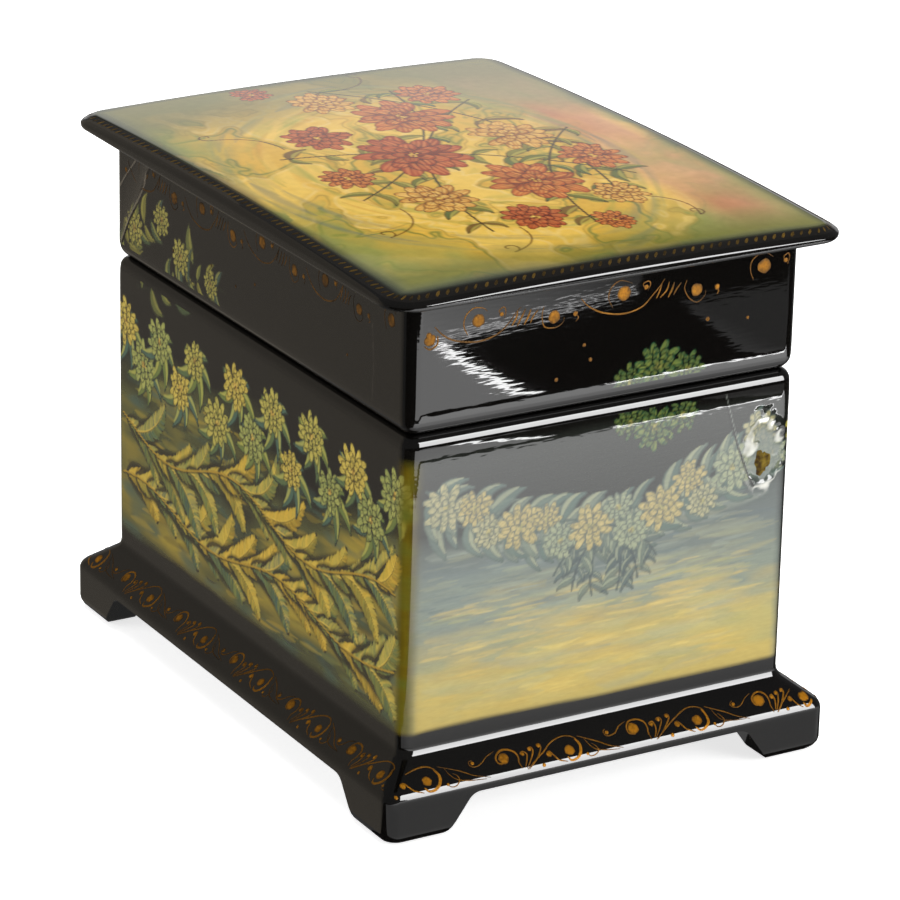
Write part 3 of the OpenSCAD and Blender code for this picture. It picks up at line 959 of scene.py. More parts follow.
# The pale line beside the dark crack is a painted highlight on its raised lip.
sides.stroke(crack + (0.3, 0), 0.3, "#7a7f78", 0.5)
sides.stroke(crack, 0.45, "#0e0d0b", 1.0, 0.3)
lifted = 0.42 * np.exp(-((chip - 1.05) / 0.2) ** 2) * np.clip(1.7 * grit, 0, 1.2)
print("ring of lifted lacquer, highest", round(float(lifted.max()), 2), "mm")

# %% Splits on the front of the lid
# The fine crack is a faint pale line on the black: a painted highlight along it.
sides.stroke([(LONG - 13.5, 88), (LONG - 13.0, 95), (LONG - 13.6, 104)], 0.25, "#2c2824", 0.8)
splits = ([(0.6, 98.3), (4.5, 102.8), (9.1, 107.2), (12.0, 110.0)],
          [(3.0, 88.0), (7.0, 94.4), (12.2, 100.8), (14.4, 104.0), (15.5, 107.0)])
first, last = np.array(splits[1][0]), np.array(splits[1][-1])
way = (last - first) / np.hypot(*(last - first))
beside = (V - first[1]) * way[0] - (U - first[0]) * way[1]
near = (beside > 0) & (U < 18) & (V > 87) & (V < 111)
# The lighter wash on the lifted piece beside the second split is a painted reflection of its tilted face.
sides.lay(near * np.exp(-np.clip(beside, 0, None) / 4.5) * 0.5, "#3a352e")
for line in splits:
    # The pale line beside each split is a painted highlight on its raised lip.
    sides.stroke(np.array(line) - (0.45, 0), 0.45, "#6a6256", 0.7)
    sides.stroke(line, 0.5, "#040303", 1.0, 0.3)
lifted += 0.2 * near * np.exp(-np.clip(beside, 0, None) / 1.5)
print("splits:", len(splits), "lifted cells:", int((lifted > 0.05).sum()))

# %% [markdown]
# Each wall gets two sheets, one on the body and one on the lid. A sheet is a grid primitive with as
# many cells as the canvas has there, wrapped around the walls in code, because the bend tool needs a
# window. The colours go to an attribute.

# %% Painted lacquer
# Thin paint under clear lacquer: matt colour with brush grain a third of a millimetre wide, gloss on top.
painted, tree = new_material("painted_ground_under_lacquer")
normal, place = lacquer_surface(tree)
colours = add(tree, "ShaderNodeAttribute", attribute_name="Paint")
stretch = add(tree, "ShaderNodeMapping", {"Vector": place}, Scale=(500, 500, 2600))
bristle = add(tree, "ShaderNodeTexNoise", {"Vector": stretch}, Scale=1.0, Detail=3.0)
level = add(tree, "ShaderNodeMapRange", {"Value": bristle}, From_Min=0.25, From_Max=0.75,
            To_Min=0.93, To_Max=1.06)
tone = add(tree, "ShaderNodeVectorMath", {0: colours, 3: level}, operation="SCALE")
shine = add(tree, "ShaderNodeBsdfPrincipled", {"Base Color": tone, "Normal": normal},
            Roughness=0.025, IOR=1.5)
add(tree, "ShaderNodeOutputMaterial", {"Surface": shine})
print("paint:", painted.name)


# %% Sheets on the walls
def painted_sheet(name, body, columns, rows, corner_of, colours_of):
    clear()
    bpy.ops.mesh.primitive_grid_add(x_subdivisions=columns, y_subdivisions=rows, size=1)
    piece = named(name)
    mesh = piece.data
    co = np.zeros(len(mesh.vertices) * 3)
    mesh.vertices.foreach_get("co", co)
    co = co.reshape(-1, 3)
    i, j = (np.rint((co[:, k] + 0.5) * n).astype(int) for k, n in ((0, columns), (1, rows)))
    mesh.vertices.foreach_set("co", (np.stack(corner_of(i, j), 1) * MM).ravel())
    layer = mesh.color_attributes.new("Paint", "FLOAT_COLOR", "POINT")
    rgba = np.ones((len(i), 4))
    rgba[:, :3] = colours_of(i, j)
    layer.data.foreach_set("color", rgba.ravel())
    mesh.update()
    bpy.ops.object.shade_smooth()
    dress(piece, body, "black_lacquer", painted)
    print(name, len(mesh.polygons), "cells")


def wall_sheet(name, body, first, columns, r0, r1):
    def place(i, j):
        x, y, nx, ny = outline(np.append(u_line, ROUND)[first + i], BODY_W, BODY_D, CORNER_R)
        z = z_line[r0 + j]
        out = SHEET - roll(z) + lifted[r0 + j, (first + i) % len(u_line)]
        return x + out * nx, y + out * ny, z

    def colour(i, j):
        return sides.rgb[r0 + j, (first + i) % len(u_line)]

    painted_sheet(name, body, columns, r1 - r0, place, colour)


SHEET, BODY_END, LID_START = 0.03, 81.4, 87.2
low_rows, high_rows = (int(np.searchsorted(z_line, z)) for z in (BODY_END, LID_START))
first = 0
for side, columns in (("front", LONG_CELLS), ("right", SHORT_CELLS),
                      ("back", LONG_CELLS), ("left", SHORT_CELLS)):
    wall_sheet("body_painting_" + side, "box", first, columns, 0, low_rows)
    wall_sheet("lid_painting_" + side, "lid", first, columns, high_rows, ROW_CELLS)
    first += columns

# %% [markdown]
# ## The lid's picture
# A swirl of cream and gold fills the middle, slate and olive close it in, and a spray of rust-red
# and orange blossoms lies over it with dark outlines, as such lids are often painted.

# %% Ground of the lid
HALF_X, HALF_Y = PANEL_W / 2 - EDGE_R, PANEL_D / 2 - EDGE_R
LID_COLUMNS, LID_ROWS = 500, 368
lid_u = np.linspace(-HALF_X, HALF_X, LID_COLUMNS + 1)
lid_v = np.linspace(-HALF_Y, HALF_Y, LID_ROWS + 1)
top = Canvas(lid_u, lid_v, "#8a864c")
U, V = top.U, top.V
cloud = top.clouds(30, 22, 21, 3)
swirl = top.clouds(14, 10, 22, 3, U=U + 26 * (cloud - 0.5), V=V + 26 * (top.clouds(30, 22, 23) - 0.5))
inner = 1.4 - np.hypot((U - 2) / 70, (V + 3) / 50) ** 2 + 0.9 * (cloud - 0.5)
top.lay(fade(inner * 2) * 0.9, "#8b8c49")
top.lay(fade(inner * 2 - 0.6 + 1.4 * (swirl - 0.5)) * 0.95, "#d0a440")
top.lay(fade(4.5 * (swirl - 0.52) + inner - 0.6) * fade(inner * 2) * 0.75, "#e2bd5c")
top.lay(fade(1 - np.abs(swirl - 0.44) / 0.05) * fade(inner * 2) * 0.55, "#7f8a45")
back_band = fade(V - 27 - 8 * (cloud - 0.5), 6) * fade(49 - V, 5) * fade(68 - np.abs(U), 16)
top.lay(back_band * fade(0.5 + 1.2 * (swirl - 0.3)) * 0.85, "#c4936c")
top.lay(back_band * fade(3 * (cloud - 0.45)) * 0.6, "#a65a42")
slope_v, slope_u = np.gradient(swirl, top.v, top.u)
steep = np.hypot(slope_u, slope_v) + 0.01
for level, wide, tone, part in ((0.44, 0.45, "#5d6730", 0.55), (0.52, 0.3, "#8a7434", 0.5),
                                (0.6, 0.5, "#dcc07a", 0.5)):
    contour = fade(1.2 - np.abs(swirl - level) / steep / wide)
    top.lay(contour * fade(inner * 2 - 0.4) * (1 - back_band) * part, tone)
top.lay(fade(-U - 36 + 16 * (cloud - 0.5), 18) * 0.8, "#6f6a42")
top.lay(fade(-U - 14, 18) * fade(V - 14, 14) * 0.6, "#7c7550")
print("lid ground laid")

# %% Brush strokes of the lid's ground
WARM = ("#d6ac4a", "#cfa03e", "#dcb75a", "#a2953e", "#7f8c3e", "#bd8a36")
COOL = ("#7f8452", "#67755c", "#9a9350", "#5c6a60", "#aa9a52")
SWEEP = np.array([0.2, 0.7, 1, 1, 0.9, 0.6, 0.2])
r = np.random.default_rng(5)
for k in range(420):
    a, d = r.uniform(0, 2 * math.pi), math.sqrt(r.uniform(0.02, 1.0))
    turn = a + np.linspace(0, r.uniform(0.2, 0.5), 7)
    across = 2 + 62 * d * np.cos(turn) * (1 + 0.06 * np.sin(3 * turn))
    line = np.stack([across, -5 + 43 * d * np.sin(turn)], 1)
    tones = WARM if d < 0.82 else COOL
    tone = tones[r.integers(len(tones))]
    top.stroke(line, r.uniform(0.8, 2.6) * SWEEP, tone, r.uniform(0.15, 0.4), 1.2)
print("lid ground painted")

# %% Blossoms, leaves and tendrils
UMBER = "#4f281b"
OLIVES = ("#6d7032", "#5c6a3a", "#837c36", "#7a5a2c")
rust = ("#9a4a22", "#b65f2a", "#6a2c18", "#d8944a")
red = ("#8e3c20", "#a64c26", "#5c2416", "#cc7a44")
amber = ("#b5762c", "#cb9440", "#845020", "#e4bd68")
for a, b, bend in (((-58, -2), (36, 20), 0.14), ((-36, 26), (46, -16), -0.12), ((-14, -32), (26, 30), 0.1),
                   ((-50, 14), (18, -30), 0.12), ((-8, 34), (50, 6), -0.1)):
    branch(top, r, bow(a, b, bend, 40), 7.0, "#3c2f1c", OLIVES, "#b0a24c", 4, 0.9)
SPRAY = (((-30, 6), 12.5, rust), ((-4, -6), 14, red), ((22, 8), 12, rust), ((-8, 20), 10, amber),
         ((-48, -4), 8, amber), ((24, -16), 9, amber), ((-24, -18), 8.5, red), ((42, -4), 7.5, red),
         ((-44, 20), 8, rust), ((12, 28), 8, rust), ((36, 20), 6.5, amber), ((4, -26), 6.5, rust),
         ((-62, -14), 5, red), ((50, 10), 5, rust))
for at, size, tones in SPRAY:
    blossom(top, r, at, size, tones, UMBER)
turn = np.linspace(0, 5.2, 18)
tight = 2.4 - 0.4 * turn
for at, away, s in (((46, -10), (58, -18), 1), ((-56, 4), (-64, 14), -1), ((40, 24), (54, 28), 1),
                    ((-20, -28), (-34, -38), -1), ((26, -26), (40, -36), 1)):
    curl = np.asarray(away) + np.stack([np.cos(turn * s) * tight, np.sin(turn * s) * tight], 1) - (2.4, 0)
    top.stroke(np.concatenate([bow(at, away, 0.2 * s), curl]), 0.4, UMBER, 0.8)
print("blossoms painted")

# %% Border of the lid's picture and its sheets
edge = np.minimum(HALF_X - np.abs(U), HALF_Y - np.abs(V))
top.lay(fade(16 + 14 * (cloud - 0.5) - HALF_X + U, 9) * 0.7, "#66672f")
top.lay(fade(6 + 8 * (cloud - 0.5) - edge, 6) * 0.75, "#4b574f")
top.lay(fade(4.6 + 2 * (cloud - 0.5) - edge, 2.6) * 0.85, "#26291f")
top.lay(fade(2.9 - edge), "#12100e")


def lid_sheet(name, first):
    def place(i, j):
        y = (j / LID_ROWS * 2 - 1) * HALF_Y
        round_in = PANEL_R - EDGE_R
        over = np.clip(np.abs(y) - (HALF_Y - round_in), 0, round_in)
        half = HALF_X - round_in + np.sqrt(np.maximum(round_in ** 2 - over ** 2, 0.04))
        x = ((first + i) / LID_COLUMNS * 2 - 1) * half
        return x, y, PANEL_Z + PANEL_T + pillow(x, y) + SHEET

    painted_sheet(name, "lid", LID_COLUMNS // 2, LID_ROWS, place, lambda i, j: top.rgb[j, first + i])


lid_sheet("lid_picture_left", 0)
lid_sheet("lid_picture_right", LID_COLUMNS // 2)

# %% [markdown]
# ## Gold scrollwork
# The gold is bronze powder in a little varnish, laid on with a fine brush. A stroke stands a few
# hundredths of a millimetre proud, and has a soft crown. Each stroke is a ribbon with a raised middle,
# and each drop a low dome. No operator draws such lines on a slope, so their points are set in code.

# %% Gold paint
# Bronze powder paint: warm orange gold, satin, bright where it lies thick and brown where it is thin or
# rubbed. Its thickness comes from the piece's own attribute, which on the front also carries painted
# shade, and its grains are half a millimetre wide.
def bronze_paint(name, dark, light):
    material, tree = new_material(name)
    place = add(tree, "ShaderNodeTexCoord").outputs["Object"]
    thick = add(tree, "ShaderNodeAttribute", attribute_name="Thick").outputs["Fac"]
    grain = add(tree, "ShaderNodeTexNoise", {"Vector": place}, Scale=1000 / 0.5, Detail=4.0)
    worn = add(tree, "ShaderNodeTexNoise", {"Vector": place}, Scale=1000 / 4.0, Detail=3.0)
    both = add(tree, "ShaderNodeMath", {0: grain, 1: worn}, operation="ADD")
    share = add(tree, "ShaderNodeMath", {0: both, 1: thick}, operation="MULTIPLY")
    tone = add(tree, "ShaderNodeValToRGB", {"Fac": share}, ((0.2, dark), (1.0, light)))
    rise = add(tree, "ShaderNodeBump", {"Height": grain}, Strength=1.0, Distance=8e-6)
    shine = add(tree, "ShaderNodeBsdfPrincipled", {"Base Color": tone, "Normal": rise},
                Roughness=0.5, Metallic=0.2, Specular_IOR_Level=0.15)
    add(tree, "ShaderNodeOutputMaterial", {"Surface": shine})
    return material


gold = bronze_paint("bronze_powder_paint", "#1d1204", "#93600a")
# The same paint on the panel's edge, where hands have rubbed it brown and dull.
worn_gold = bronze_paint("rubbed_bronze_paint", "#17120a", "#5a4519")
print("gold:", gold.name, worn_gold.name)


# %% Smooth lines
def flow(points, step=0.3):
    """A smooth line through the given points."""
    p = np.asarray(points, float)
    p = np.concatenate([[2 * p[0] - p[1]], p, [2 * p[-1] - p[-2]]])
    line = []
    for a, b, c, d in zip(p, p[1:], p[2:], p[3:]):
        n = max(2, int(np.hypot(*(c - b)) / step))
        t = np.linspace(0, 1, n, endpoint=False)[:, None]
        square, cube = (2 * a - 5 * b + 4 * c - d) * t ** 2, (3 * b - a - 3 * c + d) * t ** 3
        line.append(0.5 * (2 * b + (c - a) * t + square + cube))
    return np.concatenate(line + [p[-2:-1]])


# %% Ribbons and drops
THIN = 0.006  # how far the edge of a stroke lies over the lacquer
drop_hand = np.random.default_rng(3)


class Gilding:
    """Collects ribbons and drops on any surfaces and turns them into one piece."""

    def __init__(self):
        self.points, self.faces, self.thick = [], [], []

    def stroke(self, place, points, width, lift=0.045, thick=0.8):
        line = flow(points)
        way = np.gradient(line, axis=0)
        way /= np.maximum(np.hypot(way[:, 0], way[:, 1]), 1e-9)[:, None]
        t = np.linspace(0, 1, len(line))
        half = width / 2 * (0.35 + 0.65 * np.sin(np.pi * np.clip(t * 0.86 + 0.1, 0, 1)) ** 0.7)
        across = np.stack([-way[:, 1], way[:, 0]], 1) * half[:, None]
        start = len(self.points)
        for k in range(len(line)):
            for s, h in ((1, THIN), (0, lift), (-1, THIN)):
                self.points.append(place(*(line[k] + s * across[k]), h))
                self.thick.append(thick * (0.35 + 0.65 * half[k] / half.max()))
        for k in range(len(line) - 1):
            a = start + 3 * k
            self.faces += [(a, a + 1, a + 4, a + 3), (a + 1, a + 2, a + 5, a + 4)]

    def dome(self, place, at, wide, tall, rings, uneven):
        """A middle point and two rings around it, each ring a share of the size and a height."""
        start, n = len(self.points), len(uneven)
        self.points.append(place(at[0], at[1], rings[0][1]))
        for share, h in rings[1:]:
            for k, part in enumerate(uneven):
                a = 2 * math.pi * k / n
                across, up = wide * share * part * math.cos(a), tall * share * part * math.sin(a)
                self.points.append(place(at[0] + across, at[1] + up, h))
        for k in range(n):
            b, c = start + 1 + k, start + 1 + (k + 1) % n
            self.faces += [(start, b, c), (b, b + n, c + n, c)]

    def drop(self, place, at, size, lift=0.06, thick=1.0, n=14):
        self.thick += list(thick * drop_hand.uniform(0.7, 1.2, n + 1))
        self.thick += list(thick * drop_hand.uniform(0.3, 0.6, n))
        rings = ((0.0, lift), (0.62, 0.8 * lift), (1.0, THIN))
        self.dome(place, at, size, size, rings, 1 + drop_hand.normal(0, 0.05, n))

    def piece(self, name, body, finish, slot="hinge_brass"):
        mesh = bpy.data.meshes.new(name)
        mesh.from_pydata([tuple(c * MM for c in p) for p in self.points], [], self.faces)
        layer = mesh.color_attributes.new("Thick", "FLOAT_COLOR", "POINT")
        layer.data.foreach_set("color", np.repeat(np.array(self.thick), 4))
        piece = bpy.data.objects.new(name, mesh)
        bpy.context.scene.collection.objects.link(piece)
        only(piece)
        bpy.ops.object.shade_smooth()
        dress(piece, body, slot, finish)
        print(name, len(mesh.polygons), "faces")


# %% [markdown]
# A stroke is drawn flat, and a small function for each surface gives its place in space. On the plinth
# the strokes run over the slope and bend round its hips. On the walls they lie on the painted sheets.

# %% Places on the plinth and the walls
SIDES = {"front": (0, -1, BODY_W, BODY_D), "right": (1, 0, BODY_D, BODY_W),
         "back": (0, 1, BODY_W, BODY_D), "left": (-1, 0, BODY_D, BODY_W)}
plinth_face = np.array(shoulder + cove)
face_tilts = np.concatenate([tilts, tilts[::-1]])
face_run = np.append(0, np.cumsum(np.hypot(*np.diff(plinth_face, axis=0).T)))
face_run -= face_run[len(shoulder) - 1]


def on_slope(side):
    """u from the middle of a side and round its hips, t up the plinth's face from the foot of the slope."""
    ox, oy, run, deep = SIDES[side]

    def place(u, t, h):
        out, z, tip = (float(np.interp(t, face_run, c)) for c in (*plinth_face.T, face_tilts))
        straight = run / 2 + out - HIP_R
        bend = max(0.0, abs(u) - straight) / HIP_R
        turn_r = HIP_R + h * math.cos(tip)
        along = math.copysign(min(abs(u), straight) + turn_r * math.sin(bend), u)
        out = deep / 2 + out - HIP_R + turn_r * math.cos(bend)
        return (ox * out - oy * along, oy * out + ox * along, z + h * math.sin(tip))
    return place


def on_wall(side):
    """u from the middle of a side, z the height."""
    ox, oy, run, deep = SIDES[side]

    def place(u, z, h):
        out = deep / 2 + SHEET + h
        return (ox * out - oy * u, oy * out + ox * u, z)
    return place


print("slope places:", [round(c, 2) for c in on_slope("right")(0, 4, 0)])

# %% [markdown]
# The running scroll on the plinth repeats every three centimetres: a drop in a ring, three hooks on one
# foot, a stem that arches over a second drop and winds round it, small curls and two trailing tails. It
# is drawn once, from the first drop, and repeated with the small changes of a free hand.

# %% Strokes of the running scroll
SCROLL = [  # places along and up, width, thickness of the paint
    ([(0, -1.1), (-1.3, -0.7), (-1.35, 0.6), (-0.2, 1.6), (1.5, 1.7),
      (2.9, 0.9), (3.3, -0.4), (2.9, -1.6), (3.2, -2.9)], 0.5, 0.75),
    ([(-6.2, 1.0), (-6.9, 0.8), (-6.8, 0), (-5.7, -0.4), (-4.4, 0.1), (-3.1, 1.1), (-1.3, 1.8)], 0.34, 0.5),
    ([(4.4, -0.3), (4.0, 0.2), (4.8, 0.6), (5.3, -0.1), (4.9, -1.3), (4.0, -2.7)], 0.4, 0.7),
    ([(6.3, 0.4), (6.0, 0.9), (6.8, 1.1), (7.0, 0.3), (5.9, -1.3), (4.3, -2.9)], 0.4, 0.65),
    ([(8.4, 0.7), (8.3, 1.3), (9.0, 1.4), (9.1, 0.6), (7.2, -1.3), (4.7, -3.1)], 0.4, 0.65),
    ([(4.4, -3.1), (6.7, -1.7), (9.2, -0.3), (11.6, 1.0), (13.8, 1.7),
      (15.8, 1.7), (17.2, 0.8), (17.7, -0.7)], 0.4, 0.65),
    ([(17.2, 0.8), (17.7, -0.7), (17.3, -2.2), (16.0, -3.1), (14.7, -3.2), (14.1, -2.4)], 0.75, 0.9),
    ([(10.1, -1.6), (9.7, -0.9), (10.4, -0.6), (11.1, -1.4), (11.9, -2.5), (13.7, -3.3)], 0.42, 0.75),
    ([(17.9, 1.2), (20.7, -0.1), (22.4, -1.0), (24.3, -2.2), (27.2, -3.2)], 0.32, 0.5),
    ([(19.2, 0.5), (19.7, -0.9), (20.7, -2.1), (22.9, -2.8), (26.3, -3.2)], 0.3, 0.45),
    ([(18.7, -2.8), (19.2, -3.3), (20.3, -3.3), (21.2, -2.4), (21.0, -1.4), (20.3, -0.8)], 0.32, 0.55),
]
DROPS = [((0, 0), 1.25), ((15.0, -1.2), 1.15), ((-6.2, 0.4), 0.46), ((4.5, 0.05), 0.42), ((6.4, 0.7), 0.42),
         ((8.6, 1.0), 0.42), ((10.2, -1.15), 0.6), ((8.2, -3.0), 0.42), ((18.7, -2.7), 0.36)]
print("scroll of", len(SCROLL), "strokes and", len(DROPS), "drops")

# %% Running scroll on the plinth
SCROLL_PITCH, SCROLL_MIDDLE, TALLER = 31.0, 2.3, 1.1
plinth_gold = Gilding()
r = np.random.default_rng(31)
# The fourth number of each side scales the gold's thickness and so its brightness. The front's low value is
# painted shade: that side takes the least light.
for side, phase, pitch, paint, rise, pull in (
        ("right", -24.3, 31.0, 1.0, 0.0, 1), ("front", -51.7, 25.8, 0.72, 0.06, 0),
        ("left", -22.0, 31.0, 0.85, 0.03, 0), ("back", -50.0, 25.8, 0.85, 0.05, 0)):
    place, reach = on_slope(side), SIDES[side][2] / 2
    drawn, pulled = (-99, -24, 38, 99), (-99 - 11 * pull, -24, 38, 99 - 18.3 * pull)
    for k in range(-2, 6):
        start, shrink = phase + k * pitch, pitch / SCROLL_PITCH
        lift = SCROLL_MIDDLE + r.normal(0, 0.12)

        def spot(u, t, loose=0.06):
            along = u * shrink + r.normal(0, loose)
            up = lift + TALLER * t + rise * u + r.normal(0, loose)
            return float(np.interp(start + along, drawn, pulled)), up

        for points, width, thick in SCROLL:
            line = [spot(*point) for point in points]
            line = [p for p in line if abs(p[0]) < reach + 4.6 - 0.8 * p[1]]
            if len(line) > 2:
                width = width * r.uniform(0.7, 0.9)
                plinth_gold.stroke(place, line, width, thick=paint * thick * r.uniform(0.85, 1.1))
        for point, size in DROPS:
            at = spot(*point, 0)
            if abs(at[0]) < reach + 4.2 - 0.5 * size - 0.8 * at[1]:
                size = size * r.uniform(0.92, 1.08) * (1 if size < 1 else shrink ** 0.5)
                plinth_gold.drop(place, at, size, thick=paint * r.uniform(0.85, 1.1))
plinth_gold.piece("gold_scroll_plinth", "box", gold)

# %% [markdown]
# Under the lid's overhang hangs a row of swags: a drop in an open ring, a hanging line below it, a fan
# of short strokes, and a second drop with a curl. A few stray drops lie lower down.

# %% Swags on the lid walls
SWAG = [  # places along and up, width
    ([(-2.5, -2.6), (-3.4, -0.4), (-2.9, 1.6), (-1.2, 2.7), (0.8, 2.6), (2.0, 1.7)], 0.42),
    ([(-9.9, 0.3), (-8.0, -1.8), (-4.9, -3.5), (0, -4.3),
      (4.2, -3.5), (6.8, -1.6), (8.4, 0.2), (9.6, 1.6)], 0.5),
    ([(5.0, 0.2), (4.6, 1.4), (5.6, 1.9), (6.3, 1.1), (5.8, -0.4)], 0.45),
    ([(7.6, -2.2), (8.6, -0.6), (9.0, 0.8)], 0.6),
    ([(8.8, -2.4), (10.0, -0.8), (10.6, 0.8)], 0.6),
    ([(10.4, -2.4), (11.3, -0.9), (12.0, 0.6)], 0.6),
    ([(11.8, -2.3), (12.6, -1.0), (13.4, 0.2)], 0.55),
    ([(14.8, 0.6), (14.4, -1.4), (15.4, -3.6), (17.4, -4.4), (19.2, -3.4), (19.3, -2.4)], 0.45),
    ([(22.2, -2.0), (22.9, -2.9), (22.2, -3.5)], 0.45),
]
SWAG_DROPS = [((0, 0), 1.5), ((17.3, -1.9), 1.35), ((22.2, -2.0), 0.6), ((5.2, 0.5), 0.55)]
SWAG_PITCH = 33.4
lid_gold = Gilding()
# The last number of each side scales the gold's thickness and so its brightness. The front's low value is
# painted shade: that side takes the least light.
for side, phase, pitch, level, paint in (
        ("right", 3.3, 33.4, 107.3, 0.75), ("front", -50.0, 27.0, 107.0, 0.5),
        ("left", 0.0, 33.4, 107.3, 0.8), ("back", -48.0, 27.0, 107.0, 0.7)):
    place, reach = on_wall(side), SIDES[side][2] / 2 - CORNER_R
    for k in range(-3, 6):
        start, shrink, lift = phase + k * pitch, pitch / SWAG_PITCH, r.normal(0, 0.2)
        for points, width in SWAG:
            line = [(start + u * shrink + r.normal(0, 0.1), level + v + lift + r.normal(0, 0.1))
                    for u, v in points]
            line = [p for p in line if abs(p[0]) < reach]
            if len(line) > 0.7 * len(points):
                lid_gold.stroke(place, line, width * r.uniform(0.5, 0.75), thick=paint * r.uniform(0.5, 0.8))
        for (u, v), size in SWAG_DROPS:
            at = (start + u * shrink, level + v + lift)
            if abs(at[0]) < reach - size:
                lid_gold.drop(place, at, size * r.uniform(0.92, 1.08), thick=paint * r.uniform(0.85, 1.1))
    for k in range(5):
        at = (r.uniform(-0.9, 0.9) * reach, r.uniform(90, 99))
        lid_gold.drop(place, at, r.uniform(0.3, 0.5), 0.05, 0.7 * paint)
near = on_wall("right")
lid_gold.drop(near, (-41.0, 104.3), 1.3, thick=0.7)
lid_gold.stroke(near, [(-39.3, 104.9), (-39.4, 103.2), (-41.0, 102.4), (-42.3, 103.2)], 0.4, thick=0.55)
lid_gold.piece("gold_swags_lid", "lid", gold)

# %% [markdown]
# A row of short slanting dashes runs round the top of the panel, two millimetres inside its edge.

# %% Dashes on the panel's edge
DASH_PITCH = 2.15
edge_gold = Gilding()
rim_round = 2 * (PANEL_W + PANEL_D - 4 * PANEL_R + PANEL_R * math.pi)
count = int(rim_round / DASH_PITCH)


def on_edge(u, inset, h):
    x, y, nx, ny = (float(c) for c in outline(np.array(u), PANEL_W, PANEL_D, PANEL_R))
    x, y = x - inset * nx, y - inset * ny
    return (x, y, PANEL_Z + PANEL_T + float(pillow(x, y)) + SHEET + h)


for k in range(count):
    u = rim_round * (k + 0.5) / count + r.normal(0, 0.1)
    line = [(u - 0.6, 1.5), (u, 2.1), (u + 0.6, 2.7)]
    edge_gold.stroke(on_edge, line, r.uniform(0.45, 0.65), 0.02, r.uniform(0.35, 0.9))
edge_gold.piece("gold_dashes_panel_edge", "lid", worn_gold)

# %% [markdown]
# In the middle of the chip the lacquer is gone and the primer shows. It is a low, ragged scab of its
# own, because it is the one dull spot on the polished wall.

# %% Bare primer in the chip
# Oiled primer: olive brown, quite matt, with darker grains over a millimetre wide.
primer, tree = new_material("bare_oiled_primer")
place = add(tree, "ShaderNodeTexCoord").outputs["Object"]
grain = add(tree, "ShaderNodeTexNoise", {"Vector": place}, Scale=1000 / 1.4, Detail=3.0)
tone = add(tree, "ShaderNodeValToRGB", {"Fac": grain}, ((0.35, "#33240a"), (0.65, "#6c5a18")))
matt = add(tree, "ShaderNodeBsdfPrincipled", {"Base Color": tone}, Roughness=0.8, Specular_IOR_Level=0.1)
add(tree, "ShaderNodeOutputMaterial", {"Surface": matt})
SCAB_AT, SCAB_WIDE, SCAB_TALL, SCAB_POINTS = (38.3, 65.2), 1.9, 2.7, 26
turn = np.linspace(0, 2 * math.pi, SCAB_POINTS, endpoint=False)
ragged = 1 + 0.16 * np.sin(3 * turn + 1) + r.normal(0, 0.07, SCAB_POINTS)
scab = Gilding()
scab.dome(on_wall("right"), SCAB_AT, SCAB_WIDE, SCAB_TALL, ((0.0, 0.16), (0.6, 0.15), (1.0, 0.03)), ragged)
scab.thick = [1.0] * len(scab.points)
scab.piece("bare_primer_chip", "box", primer, "black_lacquer")

# %% [markdown]
# ## CAD pieces that stay
# The lip, the bottom and the hinges already have the right shape, so the CAD nodes stay and only
# get their finishes.

# %% Finishes of the CAD pieces
# The bottom is red inside and black underneath; the change lies 1 mm above its under side.
bottom_lacquer = lacquer("red_over_black_lacquer", *VERMILION)
tree = bottom_lacquer.node_tree
height = add(tree, "ShaderNodeSeparateXYZ", {"Vector": add(tree, "ShaderNodeTexCoord").outputs["Object"]})
above = add(tree, "ShaderNodeMath", {0: height.outputs["Z"]}, operation="GREATER_THAN")
above.inputs[1].default_value = (FOOT_H + 1.0) * MM
shine = next(n for n in tree.nodes if n.type == "BSDF_PRINCIPLED")
red_tone = shine.inputs["Base Color"].links[0].from_socket
sort = add(tree, "ShaderNodeMix", {"Factor": above, 7: red_tone}, data_type="RGBA")
sort.inputs[6].default_value = linear("#0c0a09")
tree.links.new(sort.outputs[2], shine.inputs["Base Color"])
finishes = {"bottom_panel": bottom_lacquer, "inner_lip": red_lacquer}
for name, node in nodes.items():
    node.data.materials.clear()
    node.data.materials.append(finishes.get(name, brass if name.startswith("hinge") else black_lacquer))
print("CAD pieces shown:", [n for n, o in nodes.items() if not o.hide_render])

# %% [markdown]
# ## Floor, light and camera
# The box stands on plain white paper under soft light. What makes lacquer look like lacquer is what it
# mirrors, so white cards stand and lie around the box. They show only as reflections.

# %% Floor
clear()
bpy.ops.mesh.primitive_plane_add(size=6, location=(0, 0, 0))
floor = bpy.context.object
floor.name = "paper_floor"
paper, tree = new_material("white_paper")
place = add(tree, "ShaderNodeTexCoord").outputs["Object"]
fibre = add(tree, "ShaderNodeTexNoise", {"Vector": place}, Scale=1000 / 1.5, Detail=3.0)
tone = add(tree, "ShaderNodeMix", {"Factor": fibre}, data_type="RGBA")
tone.inputs[6].default_value, tone.inputs[7].default_value = linear("#f4f4f3"), linear("#fafaf9")
sheet = add(tree, "ShaderNodeBsdfPrincipled", {"Base Color": tone.outputs[2]}, Roughness=0.9,
            Emission_Color=(1, 1, 1, 1), Emission_Strength=0.75)
add(tree, "ShaderNodeOutputMaterial", {"Surface": sheet})
floor.data.materials.append(paper)
floor.visible_glossy = False
print("floor", floor.name)


